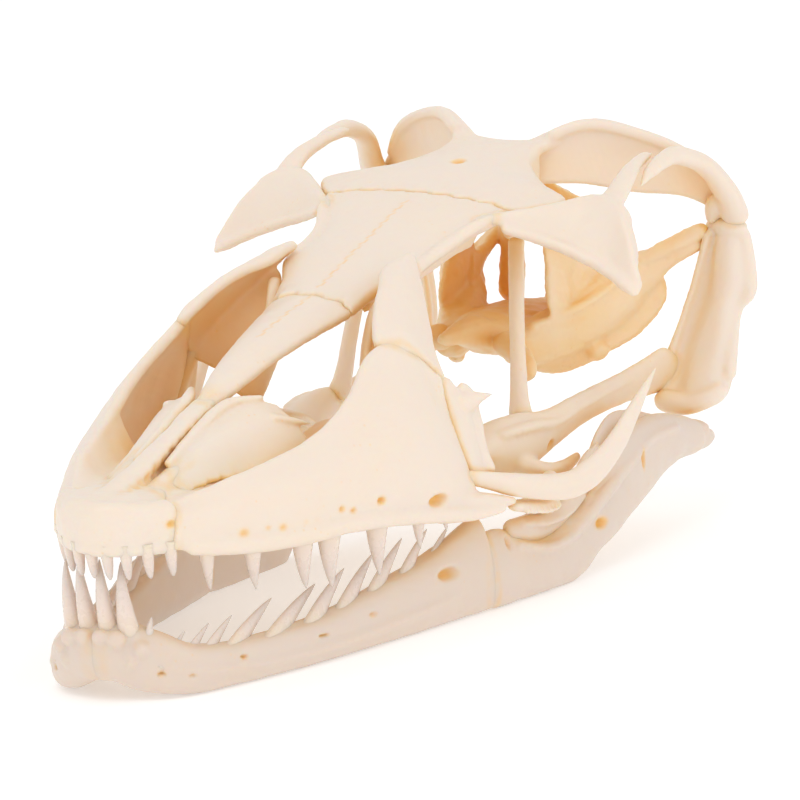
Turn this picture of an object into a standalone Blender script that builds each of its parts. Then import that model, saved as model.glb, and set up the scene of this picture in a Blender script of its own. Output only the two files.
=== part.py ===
# Skull of an adult monitor lizard, cleaned and resting on its lower jaw.
# Metres, +Z up. The snout points to -Y and the skull's own left side is +X.
# Control points are given in millimetres, y counted back from the snout.
import math

import bmesh
import bpy
from mathutils import Matrix, Vector

MM = 0.001
GAP = 0.34                   # clear width kept in every suture
SNOUT_SHIFT = -68.4          # brings the middle of the skull's length to y = 0
SIDE_SHIFT = -0.85           # brings the middle of the skull's width to x = 0
CRANIUM_TILT = (2.0, 5.8, 1.4)   # the cranium leans a little on the lower jaw
RIGHT_JAW_LIFT = 4.3         # rear half of the right jaw is raised at its joint
JAW_JOINT = (0.0, 63.0, 7.0)
RIGHT_BELLY = 4.0            # extra depth that keeps the raised half on the table
SIDES = 8
TOOTH_SIDES = 4

BONE = (0.88, 0.77, 0.62, 1.0)
DEEP_BONE = (0.80, 0.62, 0.38, 1.0)
JAW_BONE = (0.78, 0.66, 0.54, 1.0)


for old in list(bpy.data.objects):
    bpy.data.objects.remove(old, do_unlink=True)


def bone_material(name, colour, roughness):
    """A plain bone finish for one bone."""
    made = bpy.data.materials.new(name)
    made.use_nodes = True
    shader = made.node_tree.nodes["Principled BSDF"]
    shader.inputs["Base Color"].default_value = colour
    shader.inputs["Roughness"].default_value = roughness
    shader.inputs["Metallic"].default_value = 0.0
    return made


def close_and_face_out(shape):
    bmesh.ops.remove_doubles(shape, verts=shape.verts, dist=0.00002)
    bmesh.ops.triangulate(shape, faces=shape.faces)
    bmesh.ops.recalc_face_normals(shape, faces=shape.faces)


def loft(shape, stations, up=(0, 0, 1), sides=SIDES):
    """Elliptical sections (x, y, z, half width, half height) carried along a path."""
    points = [Vector(s[:3]) for s in stations]
    last = len(points) - 1
    rings = []
    for i, (point, station) in enumerate(zip(points, stations)):
        run = (points[min(i + 1, last)] - points[max(i - 1, 0)]).normalized()
        side = run.cross(Vector(up)).normalized()
        rise = side.cross(run).normalized()
        ring = []
        for k in range(sides):
            turn = 2 * math.pi * (k + 0.5) / sides
            place = point + side * station[3] * math.cos(turn)
            place += rise * station[4] * math.sin(turn)
            ring.append(shape.verts.new(place * MM))
        rings.append(ring)
    for lower, upper in zip(rings, rings[1:]):
        for k in range(sides):
            n = (k + 1) % sides
            shape.faces.new((lower[k], lower[n], upper[n], upper[k]))
    shape.faces.new(rings[0])
    shape.faces.new(list(reversed(rings[-1])))


def plate(shape, rows, thickness, outward, tips=1.0):
    """A curved plate: rows of outer points, thickened away from the outward side.

    It thins towards its first and last rows, which take the share tips of the thickness.
    """
    grid = [[Vector(p) for p in row] for row in rows]
    high = len(grid) - 1
    wide = len(grid[0]) - 1
    outer = []
    inner = []
    for i, row in enumerate(grid):
        outer_row = []
        inner_row = []
        for j, point in enumerate(row):
            down = grid[min(i + 1, high)][j] - grid[max(i - 1, 0)][j]
            across = row[min(j + 1, wide)] - row[max(j - 1, 0)]
            face = down.cross(across).normalized()
            if face.dot(Vector(outward)) < 0:
                face = -face
            depth = thickness * min(1.0, tips + (1.0 - tips) * min(i, high - i) / 2)
            outer_row.append(shape.verts.new(point * MM))
            inner_row.append(shape.verts.new((point - face * depth) * MM))
        outer.append(outer_row)
        inner.append(inner_row)
    for i in range(high):
        for j in range(wide):
            shape.faces.new((outer[i][j], outer[i][j + 1], outer[i + 1][j + 1], outer[i + 1][j]))
            shape.faces.new((inner[i][j], inner[i + 1][j], inner[i + 1][j + 1], inner[i][j + 1]))
    for i in range(high):
        shape.faces.new((outer[i][0], outer[i + 1][0], inner[i + 1][0], inner[i][0]))
        shape.faces.new((outer[i][wide], inner[i][wide], inner[i + 1][wide], outer[i + 1][wide]))
    for j in range(wide):
        shape.faces.new((outer[0][j], inner[0][j], inner[0][j + 1], outer[0][j + 1]))
        shape.faces.new((outer[high][j], outer[high][j + 1], inner[high][j + 1], inner[high][j]))


def tooth(shape, base, tip, radius, bow):
    """A pointed tooth from inside the jaw to its tip, bowed back along y."""
    start = Vector(base)
    end = Vector(tip)
    root = start - (end - start).normalized() * 1.2
    middle = start.lerp(end, 0.5) + Vector((0, bow, 0))
    stations = []
    for place, size in ((root, radius * 1.1), (middle, radius * 0.7), (end, 0.09)):
        stations.append((place.x, place.y, place.z, size * 0.72, size))
    loft(shape, stations, up=(0, 1, 0.15), sides=TOOTH_SIDES)


def knob(shape, centre, radii):
    """A rounded lump."""
    x, y, z = (c * MM for c in centre)
    scale = Matrix.Diagonal((radii[0] * MM, radii[1] * MM, radii[2] * MM, 1))
    bmesh.ops.create_icosphere(shape, subdivisions=1, radius=1.0,
                               matrix=Matrix.Translation((x, y, z)) @ scale)


def mesh_of(name, draw):
    shape = bmesh.new()
    draw(shape)
    close_and_face_out(shape)
    mesh = bpy.data.meshes.new(name)
    shape.to_mesh(mesh)
    shape.free()
    return mesh


def add_object(name, mesh):
    made = bpy.data.objects.new(name, mesh)
    bpy.context.collection.objects.link(made)
    return made


def settle(target):
    """Bake the modifiers of an object into its mesh."""
    graph = bpy.context.evaluated_depsgraph_get()
    baked = bpy.data.meshes.new_from_object(target.evaluated_get(graph))
    target.modifiers.clear()
    old = target.data
    target.data = baked
    bpy.data.meshes.remove(old)


def boolean(target, tool, operation):
    step = target.modifiers.new(operation.lower(), "BOOLEAN")
    step.operation = operation
    step.solver = "EXACT"
    step.object = tool
    step.use_self = True
    settle(target)


def largest_body(target):
    """Keep only the biggest connected body, and tidy slivers."""
    shape = bmesh.new()
    shape.from_mesh(target.data)
    bmesh.ops.remove_doubles(shape, verts=shape.verts, dist=0.00001)
    bmesh.ops.dissolve_degenerate(shape, dist=0.00001, edges=shape.edges)
    bmesh.ops.triangulate(shape, faces=shape.faces)
    left = set(shape.verts)
    bodies = []
    while left:
        queue = [left.pop()]
        body = []
        while queue:
            vert = queue.pop()
            body.append(vert)
            for edge in vert.link_edges:
                other = edge.other_vert(vert)
                if other in left:
                    left.remove(other)
                    queue.append(other)
        bodies.append(body)
    bodies.sort(key=len, reverse=True)
    for body in bodies[1:]:
        bmesh.ops.delete(shape, geom=body, context="VERTS")
    shape.to_mesh(target.data)
    shape.free()


def thin_out(target):
    """Join facets that lie in one plane, where the bone stays one closed surface."""
    shape = bmesh.new()
    shape.from_mesh(target.data)
    bmesh.ops.dissolve_limit(shape, angle_limit=math.radians(1.2), verts=shape.verts, edges=shape.edges)
    bmesh.ops.triangulate(shape, faces=shape.faces)
    if all(edge.is_manifold for edge in shape.edges):
        shape.to_mesh(target.data)
    shape.free()


def build_bone(name, pieces, colour=BONE, roughness=0.5):
    """Union of the drawn pieces as one solid."""
    target = add_object(name, mesh_of(name, pieces[0]))
    for draw in pieces[1:]:
        other = add_object(name + "_piece", mesh_of(name + "_piece", draw))
        boolean(target, other, "UNION")
        bpy.data.objects.remove(other, do_unlink=True)
    largest_body(target)
    target.data.materials.clear()
    target.data.materials.append(bone_material(name, colour, roughness))
    return target


def swollen_copy(source, amount):
    """The same solid grown outward by amount, the tool that opens a suture."""
    shape = bmesh.new()
    shape.from_mesh(source.data)
    shape.normal_update()
    moves = []
    for vert in shape.verts:
        moves.append(vert.normal * amount * MM * min(vert.calc_shell_factor(), 1.8))
    for vert, move in zip(shape.verts, moves):
        vert.co += move
    mesh = bpy.data.meshes.new(source.name + "_swollen")
    shape.to_mesh(mesh)
    shape.free()
    made = add_object(source.name + "_swollen", mesh)
    made.matrix_world = source.matrix_world.copy()
    return made


def flatten_bottom(target):
    """Give a jaw bone the flat underside that it stands on, at z = 0."""
    block = bmesh.new()
    under = Matrix.Translation((0, 0.07, -0.01)) @ Matrix.Diagonal((0.2, 0.2, 0.02, 1))
    bmesh.ops.create_cube(block, size=1.0, matrix=under)
    mesh = bpy.data.meshes.new("table")
    block.to_mesh(mesh)
    block.free()
    tool = add_object("table", mesh)
    boolean(target, tool, "DIFFERENCE")
    bpy.data.objects.remove(tool, do_unlink=True)
    largest_body(target)


def open_suture(target, neighbour):
    """Cut target back so that a thin gap stays all along the neighbour."""
    tool = swollen_copy(neighbour, GAP)
    boolean(target, tool, "DIFFERENCE")
    bpy.data.objects.remove(tool, do_unlink=True)
    largest_body(target)


def mirrored(source, name):
    """The same bone of the right side."""
    shape = bmesh.new()
    shape.from_mesh(source.data)
    bmesh.ops.scale(shape, vec=(-1, 1, 1), verts=shape.verts)
    bmesh.ops.reverse_faces(shape, faces=shape.faces)
    mesh = bpy.data.meshes.new(name)
    shape.to_mesh(mesh)
    shape.free()
    made = add_object(name, mesh)
    shader = source.data.materials[0].node_tree.nodes["Principled BSDF"]
    colour = tuple(shader.inputs["Base Color"].default_value)
    mesh.materials.append(bone_material(name, colour, shader.inputs["Roughness"].default_value))
    return made


def both_sides(points):
    """A row of points across the skull, from its left half given outward."""
    return [(-x, y, z) for x, y, z in reversed(points) if x > 0] + list(points)


# Cranium

def alveolar_arc(x):
    """Front edge of the upper jaw at the tooth line, as y for a given x."""
    return 0.7 + 7.4 * (abs(x) / 9.4) ** 2.2


def premaxilla():
    def body(s):
        path = []
        for x in (-9.2, -7.4, -4.6, -1.6, 1.6, 4.6, 7.4, 9.2):
            path.append((x * 0.86, alveolar_arc(x) + 1.5, 22.9 + 0.04 * (9 - abs(x)), 1.9, 3.5))
        loft(s, path)

    def snout_top(s):
        loft(s, [(0, 3.4, 24.0, 6.6, 2.2), (0, 7.0, 25.4, 7.0, 1.9), (0, 11.0, 26.8, 3.6, 1.5),
                 (0, 15.6, 28.2, 2.4, 1.4), (0, 24.0, 31.4, 2.1, 1.2), (0, 34.0, 36.1, 1.9, 1.1),
                 (0, 41.5, 38.9, 0.9, 0.8)])

    def palate(s):
        loft(s, [(0, 3.6, 21.4, 5.2, 1.0), (0, 8.0, 22.0, 4.6, 0.9), (0, 11.6, 22.6, 2.2, 0.8)])

    def teeth(x):
        y = alveolar_arc(x) + 0.7
        return lambda s: tooth(s, (x * 0.97, y, 19.6), (x * 0.95, y + 0.8, 15.8), 0.85, 0.1)

    rows = [teeth(x) for x in (-8.4, -6.4, -4.3, -2.2, 0.0, 2.2, 4.3, 6.4, 8.4)]
    return build_bone("premaxilla", [body, snout_top, palate] + rows, BONE, 0.48)


def maxilla():
    def face(s):
        plate(s, [
            [(9.7, 8.6, 19.7), (10.0, 8.9, 22.0), (9.5, 9.1, 24.2), (7.2, 10.0, 26.2)],
            [(13.9, 17.0, 18.0), (14.6, 17.2, 21.5), (14.0, 17.0, 25.0), (11.4, 16.4, 28.2)],
            [(17.3, 24.0, 17.9), (18.2, 24.2, 21.5), (17.4, 24.2, 26.0), (14.0, 24.4, 29.4)],
            [(20.0, 31.0, 18.3), (20.9, 31.2, 22.0), (20.0, 31.2, 27.0), (16.0, 31.4, 31.2)],
            [(22.8, 39.5, 17.4), (23.6, 39.6, 22.0), (22.0, 39.2, 29.0), (17.0, 38.2, 34.8)],
            [(24.8, 46.0, 16.4), (25.0, 46.2, 23.0), (22.4, 45.6, 31.4), (16.0, 45.4, 38.8)],
            [(26.4, 52.0, 15.4), (25.4, 52.0, 23.0), (22.2, 51.6, 31.6), (17.4, 51.2, 39.4)],
            [(27.4, 56.6, 15.6), (24.6, 56.2, 22.4), (22.2, 56.4, 28.4), (21.0, 55.8, 34.0)],
        ], 1.7, (1, -0.6, 0.4))

    def tooth_bar(s):
        loft(s, [(7.6, 11.2, 20.9, 1.9, 1.6), (12.3, 18.0, 20.0, 2.4, 1.7), (15.5, 25.0, 20.0, 2.6, 1.7),
                 (18.0, 32.0, 20.2, 2.6, 1.7), (20.7, 40.5, 19.3, 2.6, 1.7), (22.7, 47.5, 18.3, 2.4, 1.7),
                 (24.6, 53.5, 17.4, 2.2, 1.7), (27.0, 58.0, 17.0, 1.5, 1.3), (29.2, 62.4, 16.4, 0.4, 0.4)])

    places = ((13.0, 5.2, 0.95), (18.5, 5.7, 1.15), (25.7, 6.9, 1.4), (29.8, 7.6, 1.4),
              (38.0, 7.4, 1.4), (45.5, 5.0, 1.05), (50.5, 3.4, 0.8))

    def line(y):
        rows = ((9.9, 8.2), (17.0, 13.1), (24.0, 16.4), (31.0, 19.1), (40.0, 21.8), (47.0, 23.7), (53, 25.2))
        for (y0, x0), (y1, x1) in zip(rows, rows[1:]):
            if y <= y1:
                return x0 + (x1 - x0) * (y - y0) / (y1 - y0)
        return rows[-1][1]

    def teeth(y, length, radius):
        x = line(y)
        z = 18.9 - 0.035 * max(0, y - 30)
        return lambda s: tooth(s, (x, y, z), (x - 0.4, y + 1.3, z - length - 0.6), radius, -0.1)

    rows = [teeth(*p) for p in places]
    return build_bone("maxilla_left", [face, tooth_bar] + rows, BONE, 0.48)


def septomaxilla():
    def shell(s):
        plate(s, [
            [(3.0, 15.0, 29.2), (5.0, 15.5, 28.8), (7.2, 16.5, 27.9)],
            [(3.4, 20.0, 31.3), (6.0, 20.5, 30.4), (8.8, 21.0, 28.3)],
            [(3.8, 26.0, 33.2), (6.6, 26.5, 32.1), (10.4, 26.8, 28.8)],
            [(4.2, 31.0, 34.2), (7.2, 31.0, 32.8), (11.4, 31.5, 29.4)],
            [(5.6, 34.0, 33.6), (8.6, 35.0, 30.9), (12.0, 35.5, 29.4)],
        ], 0.9, (0.3, -0.3, 1))
    return build_bone("septomaxilla_left", [shell], DEEP_BONE, 0.55)


def nasal():
    def roof(s):
        rows = []
        for y, w, z in ((30.5, 2.6, 35.2), (36.0, 3.4, 37.6), (42.0, 4.2, 39.7), (48.0, 5.1, 41.3),
                        (53.0, 5.9, 42.4), (57.2, 6.8, 43.4)):
            rows.append(both_sides([(0, y, z), (w * 0.55, y, z - 0.5), (w, y, z - 1.7)]))
        plate(s, rows, 1.5, (0, 0, 1))
    return build_bone("nasal", [roof], BONE, 0.48)


def frontal():
    def roof(s):
        rows = []
        for y, w, mid, edge in ((57.4, 6.9, 43.5, 41.9), (62.0, 7.9, 45.0, 44.1), (67.0, 10.8, 46.8, 45.7),
                                (71.0, 10.6, 48.1, 46.4), (75.0, 10.5, 49.4, 47.1), (80.0, 11.8, 51.1, 48.8),
                                (84.0, 13.8, 52.3, 50.6), (88.0, 15.0, 53.2, 51.8)):
            rows.append(both_sides([(0, y, mid), (w * 0.6, y, mid * 0.7 + edge * 0.3), (w, y, edge)]))
        plate(s, rows, 2.0, (0, 0, 1))

    def brain_tube(s):
        loft(s, [(0, 59.0, 40.6, 4.2, 2.2), (0, 66.0, 42.6, 4.6, 3.0), (0, 76.0, 45.6, 4.8, 3.2),
                 (0, 86.0, 48.6, 5.2, 3.4)])
    return build_bone("frontal", [roof, brain_tube], BONE, 0.46)


def parietal():
    def roof(s):
        rows = []
        for y, w, mid, edge in ((88.6, 15.0, 53.4, 51.9), (92.0, 18.6, 54.3, 52.1), (96.0, 20.2, 55.3, 52.8),
                                (100.0, 15.6, 55.9, 53.4), (104.0, 11.6, 56.5, 54.4), (108.0, 8.4, 57.0, 55.8),
                                (112.0, 7.4, 57.2, 57.2), (116.0, 9.0, 57.3, 58.8)):
            rows.append(both_sides([(0, y, mid), (w * 0.6, y, mid * 0.65 + edge * 0.35), (w, y, edge)]))
        plate(s, rows, 1.9, (0, 0, 1))

    def wing(side):
        def draw(s):
            top = [(5.5, 114.0, 57.8), (12.3, 118.0, 60.6), (18.0, 121.5, 59.4), (24.0, 126.5, 56.2),
                   (28.2, 130.6, 51.0)]
            low = [(6.5, 113.0, 51.5), (12.0, 118.5, 50.8), (18.0, 124.5, 49.0), (23.6, 129.0, 48.2),
                   (27.0, 131.8, 46.6)]
            mid = []
            for a, b in zip(top, low):
                mid.append(tuple((p + q) / 2 + d for p, q, d in zip(a, b, (-0.3, 0.5, 0))))
            rows = [[(side * x, y, z) for x, y, z in row] for row in (top, mid, low)]
            plate(s, rows, 1.9, (0, -1, 0.2))
        return draw

    def flange(side):
        def draw(s):
            top = [(17.0, 97.0, 52.4), (12.6, 102.0, 53.6), (9.0, 107.0, 55.2), (7.6, 112.0, 56.6)]
            low = [(10.0, 97.0, 45.5), (9.2, 102.0, 44.5), (8.4, 107.0, 45.5), (7.8, 112.0, 48.5)]
            rows = [[(side * x, y, z) for x, y, z in row] for row in (top, low)]
            plate(s, rows, 1.4, (side, -0.4, 0))
        return draw

    return build_bone("parietal", [roof, wing(1), wing(-1), flange(1), flange(-1)], BONE, 0.46)


def prefrontal():
    def sheet(s):
        plate(s, [
            [(9.0, 68.4, 48.4), (9.8, 68.6, 48.4), (10.6, 68.2, 47.6)],
            [(9.0, 61.5, 47.4), (10.8, 64.0, 47.6), (12.0, 66.9, 45.9)],
            [(11.4, 56.8, 46.4), (13.2, 60.0, 45.4), (14.2, 64.4, 42.9)],
            [(13.4, 52.4, 44.4), (15.4, 56.4, 42.8), (16.8, 61.2, 39.8)],
            [(15.2, 48.4, 41.2), (17.4, 52.6, 40.6), (19.2, 58.4, 36.6)],
            [(16.6, 48.4, 40.0), (19.8, 54.0, 36.8), (21.0, 57.6, 33.8)],
        ], 1.7, (0.8, -0.5, 0.4), 0.5)

    def strut(s):
        loft(s, [(9.6, 63.5, 43.8, 1.1, 1.0), (8.0, 61.0, 41.0, 1.5, 0.9), (7.6, 59.5, 36.0, 1.9, 0.9),
                 (8.6, 57.5, 31.5, 2.2, 0.9), (10.4, 56.5, 28.0, 2.8, 0.9)], up=(1, 0.6, 0))

    def orbit_wall(s):
        plate(s, [
            [(11.6, 66.4, 45.2), (9.8, 66.0, 43.6), (8.6, 64.5, 42.0)],
            [(13.9, 63.8, 42.0), (11.0, 63.0, 40.2), (8.8, 61.5, 38.8)],
            [(17.6, 59.8, 37.0), (13.4, 60.0, 34.8), (9.4, 58.8, 33.6)],
            [(20.0, 57.6, 32.6), (15.0, 59.4, 30.2), (10.0, 57.8, 29.2)],
        ], 1.1, (0.2, 1, 0))
    return build_bone("prefrontal_left", [sheet, strut, orbit_wall], BONE, 0.48)


def lacrimal():
    def block(s):
        loft(s, [(21.2, 58.4, 32.6, 1.2, 1.6), (22.6, 58.8, 29.0, 1.5, 3.0), (24.0, 58.8, 25.0, 1.6, 3.4),
                 (26.0, 58.4, 21.6, 1.3, 2.6)], up=(0, 1, 0))

    def spur(s):
        loft(s, [(22.6, 59.4, 29.6, 1.8, 1.4), (23.8, 61.8, 30.4, 1.0, 0.9), (24.9, 63.6, 30.4, 0.2, 0.2)])
    return build_bone("lacrimal_left", [block, spur], BONE, 0.5)


def jugal():
    def blade(s):
        loft(s, [(26.4, 58.6, 20.0, 0.8, 0.9), (29.2, 63.5, 18.7, 1.3, 1.2), (32.0, 70.8, 17.2, 1.4, 1.6),
                 (33.5, 74.8, 17.7, 1.3, 1.9), (34.5, 79.0, 19.1, 1.1, 1.9), (35.3, 83.2, 22.3, 1.0, 1.6),
                 (35.7, 86.7, 25.3, 0.8, 1.2), (36.0, 93.0, 30.1, 0.2, 0.2)], up=(0, -0.3, 1))
    return build_bone("jugal_left", [blade], BONE, 0.42)


def ectopterygoid():
    def strut(s):
        loft(s, [(28.6, 64.5, 15.2, 0.9, 0.7), (28.2, 70.0, 14.2, 1.9, 1.0), (27.0, 76.0, 13.6, 2.0, 1.2),
                 (24.6, 82.0, 13.2, 1.7, 1.3), (22.8, 86.4, 13.4, 1.2, 1.5)])
    return build_bone("ectopterygoid_left", [strut], BONE, 0.5)


def postorbitofrontal():
    def sheet(s):
        plate(s, [
            [(12.6, 82.6, 50.9), (12.8, 83.4, 51.4), (13.2, 84.4, 51.6)],
            [(15.6, 85.8, 49.8), (16.4, 87.2, 51.3), (17.0, 88.8, 51.9)],
            [(19.0, 88.2, 48.3), (19.8, 90.2, 51.2), (20.4, 92.6, 52.8)],
            [(22.4, 89.4, 47.2), (23.6, 92.8, 51.2), (24.6, 95.9, 54.0)],
            [(26.9, 89.6, 45.9), (28.0, 92.6, 50.2), (28.7, 94.9, 53.4)],
            [(30.0, 89.6, 44.5), (30.4, 91.6, 48.6), (30.2, 92.9, 51.4)],
            [(32.9, 88.7, 42.9), (33.1, 90.0, 46.2), (32.5, 91.2, 48.7)],
            [(34.9, 87.9, 41.3), (35.1, 88.7, 42.6), (35.0, 89.3, 43.8)],
        ], 2.2, (0.2, -0.5, 1), 0.35)

    def temporal_bar(s):
        loft(s, [(26.3, 92.6, 50.9, 1.8, 0.9), (27.0, 96.6, 53.3, 1.9, 1.3), (26.9, 100.0, 54.8, 1.6, 1.2),
                 (26.1, 105.6, 56.3, 1.2, 1.0), (25.6, 110.4, 57.0, 0.9, 0.8), (25.6, 113.0, 57.2, 0.4, 0.4)])
    return build_bone("postorbitofrontal_left", [sheet, temporal_bar], BONE, 0.45)


def squamosal():
    def arch(s):
        loft(s, [(28.0, 104.6, 53.8, 0.5, 0.5), (27.9, 110.5, 56.2, 1.2, 1.2), (27.9, 117.0, 56.8, 1.5, 1.4),
                 (29.2, 124.4, 54.2, 1.7, 1.5), (30.9, 129.4, 49.4, 2.1, 1.8), (31.2, 131.9, 46.0, 2.2, 2.0)])
    return build_bone("squamosal_left", [arch], BONE, 0.47)


def quadrate():
    def column(s):
        loft(s, [(29.6, 133.0, 44.6, 2.8, 2.4), (29.2, 133.8, 41.6, 3.7, 2.5), (28.4, 134.2, 37.0, 4.7, 2.0),
                 (27.4, 134.2, 31.0, 5.3, 1.7), (26.6, 133.4, 25.0, 5.2, 1.8), (26.2, 131.8, 20.0, 5.0, 2.2),
                 (25.4, 129.4, 17.4, 4.2, 2.3), (24.5, 127.6, 15.3, 2.8, 1.9)], up=(0, 1, 0.1))

    def rim(s):
        loft(s, [(31.2, 133.4, 43.8, 1.1, 1.4), (32.2, 135.2, 36.0, 1.0, 1.5), (31.6, 134.8, 28.0, 0.9, 1.3),
                 (30.2, 132.8, 19.0, 1.0, 1.2)], up=(0, 1, 0))
    return build_bone("quadrate_left", [column, rim], BONE, 0.5)


def braincase():
    def floor(s):
        loft(s, [(0, 96.0, 30.0, 1.0, 0.9), (0, 104.0, 29.6, 2.4, 2.4), (0, 110.0, 28.4, 5.6, 3.6),
                 (0, 118.0, 27.4, 8.6, 4.4), (0, 126.0, 27.0, 8.8, 4.4), (0, 132.6, 27.2, 6.6, 2.9),
                 (0, 135.4, 28.2, 3.8, 2.4)])

    def roof(s):
        rows = []
        for y, w, z in ((119.6, 4.0, 53.4), (122.6, 6.8, 50.8), (126.4, 9.0, 48.4), (130.6, 8.4, 46.4),
                        (133.2, 5.6, 45.0)):
            rows.append(both_sides([(0, y, z), (w, y, z - 1.6)]))
        plate(s, rows, 2.2, (0, 0.4, 1))

    def condyle(s):
        knob(s, (0, 136.0, 29.4), (2.8, 2.4, 2.0))

    def bar(side, path, up=(0, 0, 1), sides=SIDES):
        placed = [(side * x, y, z, a, b) for x, y, z, a, b in path]
        return lambda s: loft(s, placed, up=up, sides=sides)

    ear_block = [(5.0, 107.5, 26.0, 2.6, 2.6), (8.0, 115.0, 27.0, 3.6, 5.2), (10.4, 121.5, 28.4, 3.8, 5.4),
                 (13.4, 127.0, 30.6, 3.6, 5.2), (17.0, 130.6, 35.2, 2.6, 4.4), (20.6, 132.0, 39.0, 1.8, 2.6),
                 (24.0, 132.8, 41.8, 1.2, 1.9)]
    front_wall = [(9.4, 117.5, 30.0, 1.1, 6.0), (8.6, 117.4, 37.5, 0.9, 5.1), (8.0, 117.2, 43.0, 0.8, 4.7),
                  (7.2, 118.4, 48.4, 0.8, 3.4)]
    rear_pillar = [(6.6, 131.2, 29.0, 2.2, 2.0), (6.6, 131.6, 36.0, 2.0, 1.8), (6.4, 130.6, 42.0, 1.9, 1.8),
                   (6.0, 128.8, 46.4, 1.8, 1.8)]
    foot = [(4.0, 106.6, 28.4, 2.2, 2.2), (8.6, 103.6, 27.2, 1.7, 1.8), (12.0, 100.6, 24.8, 1.8, 2.0)]
    parts = [floor, roof, condyle]
    for side in (1, -1):
        parts.append(bar(side, ear_block))
        parts.append(bar(side, front_wall, up=(0, 1, 0), sides=6))
        parts.append(bar(side, rear_pillar, up=(0, 1, 0), sides=6))
        parts.append(bar(side, foot, sides=6))
    return build_bone("braincase", parts, DEEP_BONE, 0.58)


def pterygoid():
    def beam(s):
        loft(s, [(12.4, 69.5, 20.0, 2.8, 0.9), (14.2, 76.0, 18.9, 3.6, 2.0), (15.4, 82.0, 18.0, 3.4, 4.2),
                 (16.6, 88.5, 17.8, 2.9, 4.5), (17.4, 96.0, 18.2, 1.9, 3.1), (17.9, 106.0, 19.4, 1.4, 2.5),
                 (18.7, 117.0, 20.3, 1.2, 2.3), (19.5, 126.0, 21.2, 1.0, 2.3), (20.2, 130.4, 22.6, 0.8, 2.0)])

    def flange(s):
        loft(s, [(17.8, 84.0, 16.0, 1.6, 1.6), (20.3, 89.0, 13.9, 1.6, 1.3), (20.4, 95.0, 13.0, 1.2, 1.1),
                 (19.8, 101.6, 13.4, 0.6, 0.7)])
    return build_bone("pterygoid_left", [beam, flange], BONE, 0.5)


def epipterygoid():
    def rod(s):
        loft(s, [(15.2, 91.6, 20.4, 1.9, 1.5), (14.6, 92.2, 24.0, 1.3, 1.2), (13.6, 93.4, 33.0, 1.15, 1.1),
                 (12.6, 95.0, 41.0, 1.25, 1.0), (11.8, 96.4, 46.0, 1.4, 0.9)], up=(0, 1, 0))
    return build_bone("epipterygoid_left", [rod], BONE, 0.48)


def palatine():
    def sheet(s):
        plate(s, [
            [(2.6, 47.0, 25.0), (8.0, 46.5, 24.8), (14.0, 47.0, 22.6), (19.5, 48.0, 20.6)],
            [(2.8, 54.0, 26.6), (8.0, 54.0, 27.0), (14.6, 54.0, 24.2), (21.0, 54.0, 20.4)],
            [(3.8, 62.0, 25.2), (9.0, 62.0, 25.2), (14.2, 61.5, 22.8), (20.0, 60.0, 20.2)],
            [(6.6, 69.6, 22.6), (9.6, 70.2, 22.2), (12.6, 70.2, 21.2), (15.4, 69.0, 20.4)],
        ], 1.3, (0, 0, 1))
    return build_bone("palatine_left", [sheet], BONE, 0.52)


def vomer():
    def strip(s):
        loft(s, [(1.5, 12.6, 22.8, 0.9, 0.7), (2.5, 22.0, 23.6, 1.6, 0.7), (3.2, 34.0, 24.5, 2.2, 0.8),
                 (3.0, 46.2, 25.2, 1.9, 0.7)])
    return build_bone("vomer_left", [strip], DEEP_BONE, 0.55)


# Lower jaw, in its own level frame

def dentary():
    def bar(s):
        loft(s, [(0.25, 4.7, 6.4, 2.3, 4.2), (2.6, 4.7, 6.4, 2.6, 4.6), (5.8, 6.4, 4.6, 2.7, 4.3),
                 (9.2, 10.0, 3.2, 2.5, 3.5), (12.0, 16.0, 2.7, 2.2, 3.1), (14.6, 23.0, 2.7, 2.1, 3.1),
                 (16.9, 31.0, 3.0, 2.1, 3.3), (19.2, 41.0, 3.9, 2.1, 4.6), (21.2, 51.0, 4.8, 2.1, 5.6),
                 (22.8, 59.0, 6.1, 1.9, 7.0), (23.6, 62.6, 6.7, 1.7, 7.6)])
    fangs = [(1.4, 3.2, 10.4, 1.6, 3.0, 18.6, 1.15), (3.9, 3.6, 9.6, 4.2, 3.5, 18.2, 1.2),
             (6.6, 5.2, 6.8, 6.4, 6.2, 10.2, 0.8)]
    rows = ((8.4, 7.4, 5.6, 3.6, 2.4, 0.8), (9.8, 9.8, 5.4, 4.6, 2.9, 0.85), (11.0, 12.4, 5.2, 5.6, 3.4, 0.95),
            (12.6, 16.6, 5.2, 8.6, 4.2, 1.2), (14.8, 23.0, 5.2, 9.6, 4.6, 1.3), (16.6, 29.6, 5.6, 7.6, 5.4, 1.3),
            (18.0, 35.2, 6.2, 7.4, 5.8, 1.3), (19.4, 41.0, 7.4, 7.0, 5.6, 1.2), (20.6, 47.2, 8.6, 5.6, 4.8, 1.05),
            (21.6, 52.8, 9.6, 4.0, 3.4, 0.85))
    for x, y, z, back, rise, radius in rows:
        fangs.append((x - 0.3, y, z, x + 0.2, y + back, z + rise, radius))
    parts = [bar]
    for x, y, z, tx, ty, tz, radius in fangs:
        parts.append(lambda s, a=(x, y, z - 0.4), b=(tx, ty, tz), r=radius: tooth(s, a, b, r, 0.1))
    return build_bone("dentary_left", parts, JAW_BONE, 0.45)


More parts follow.
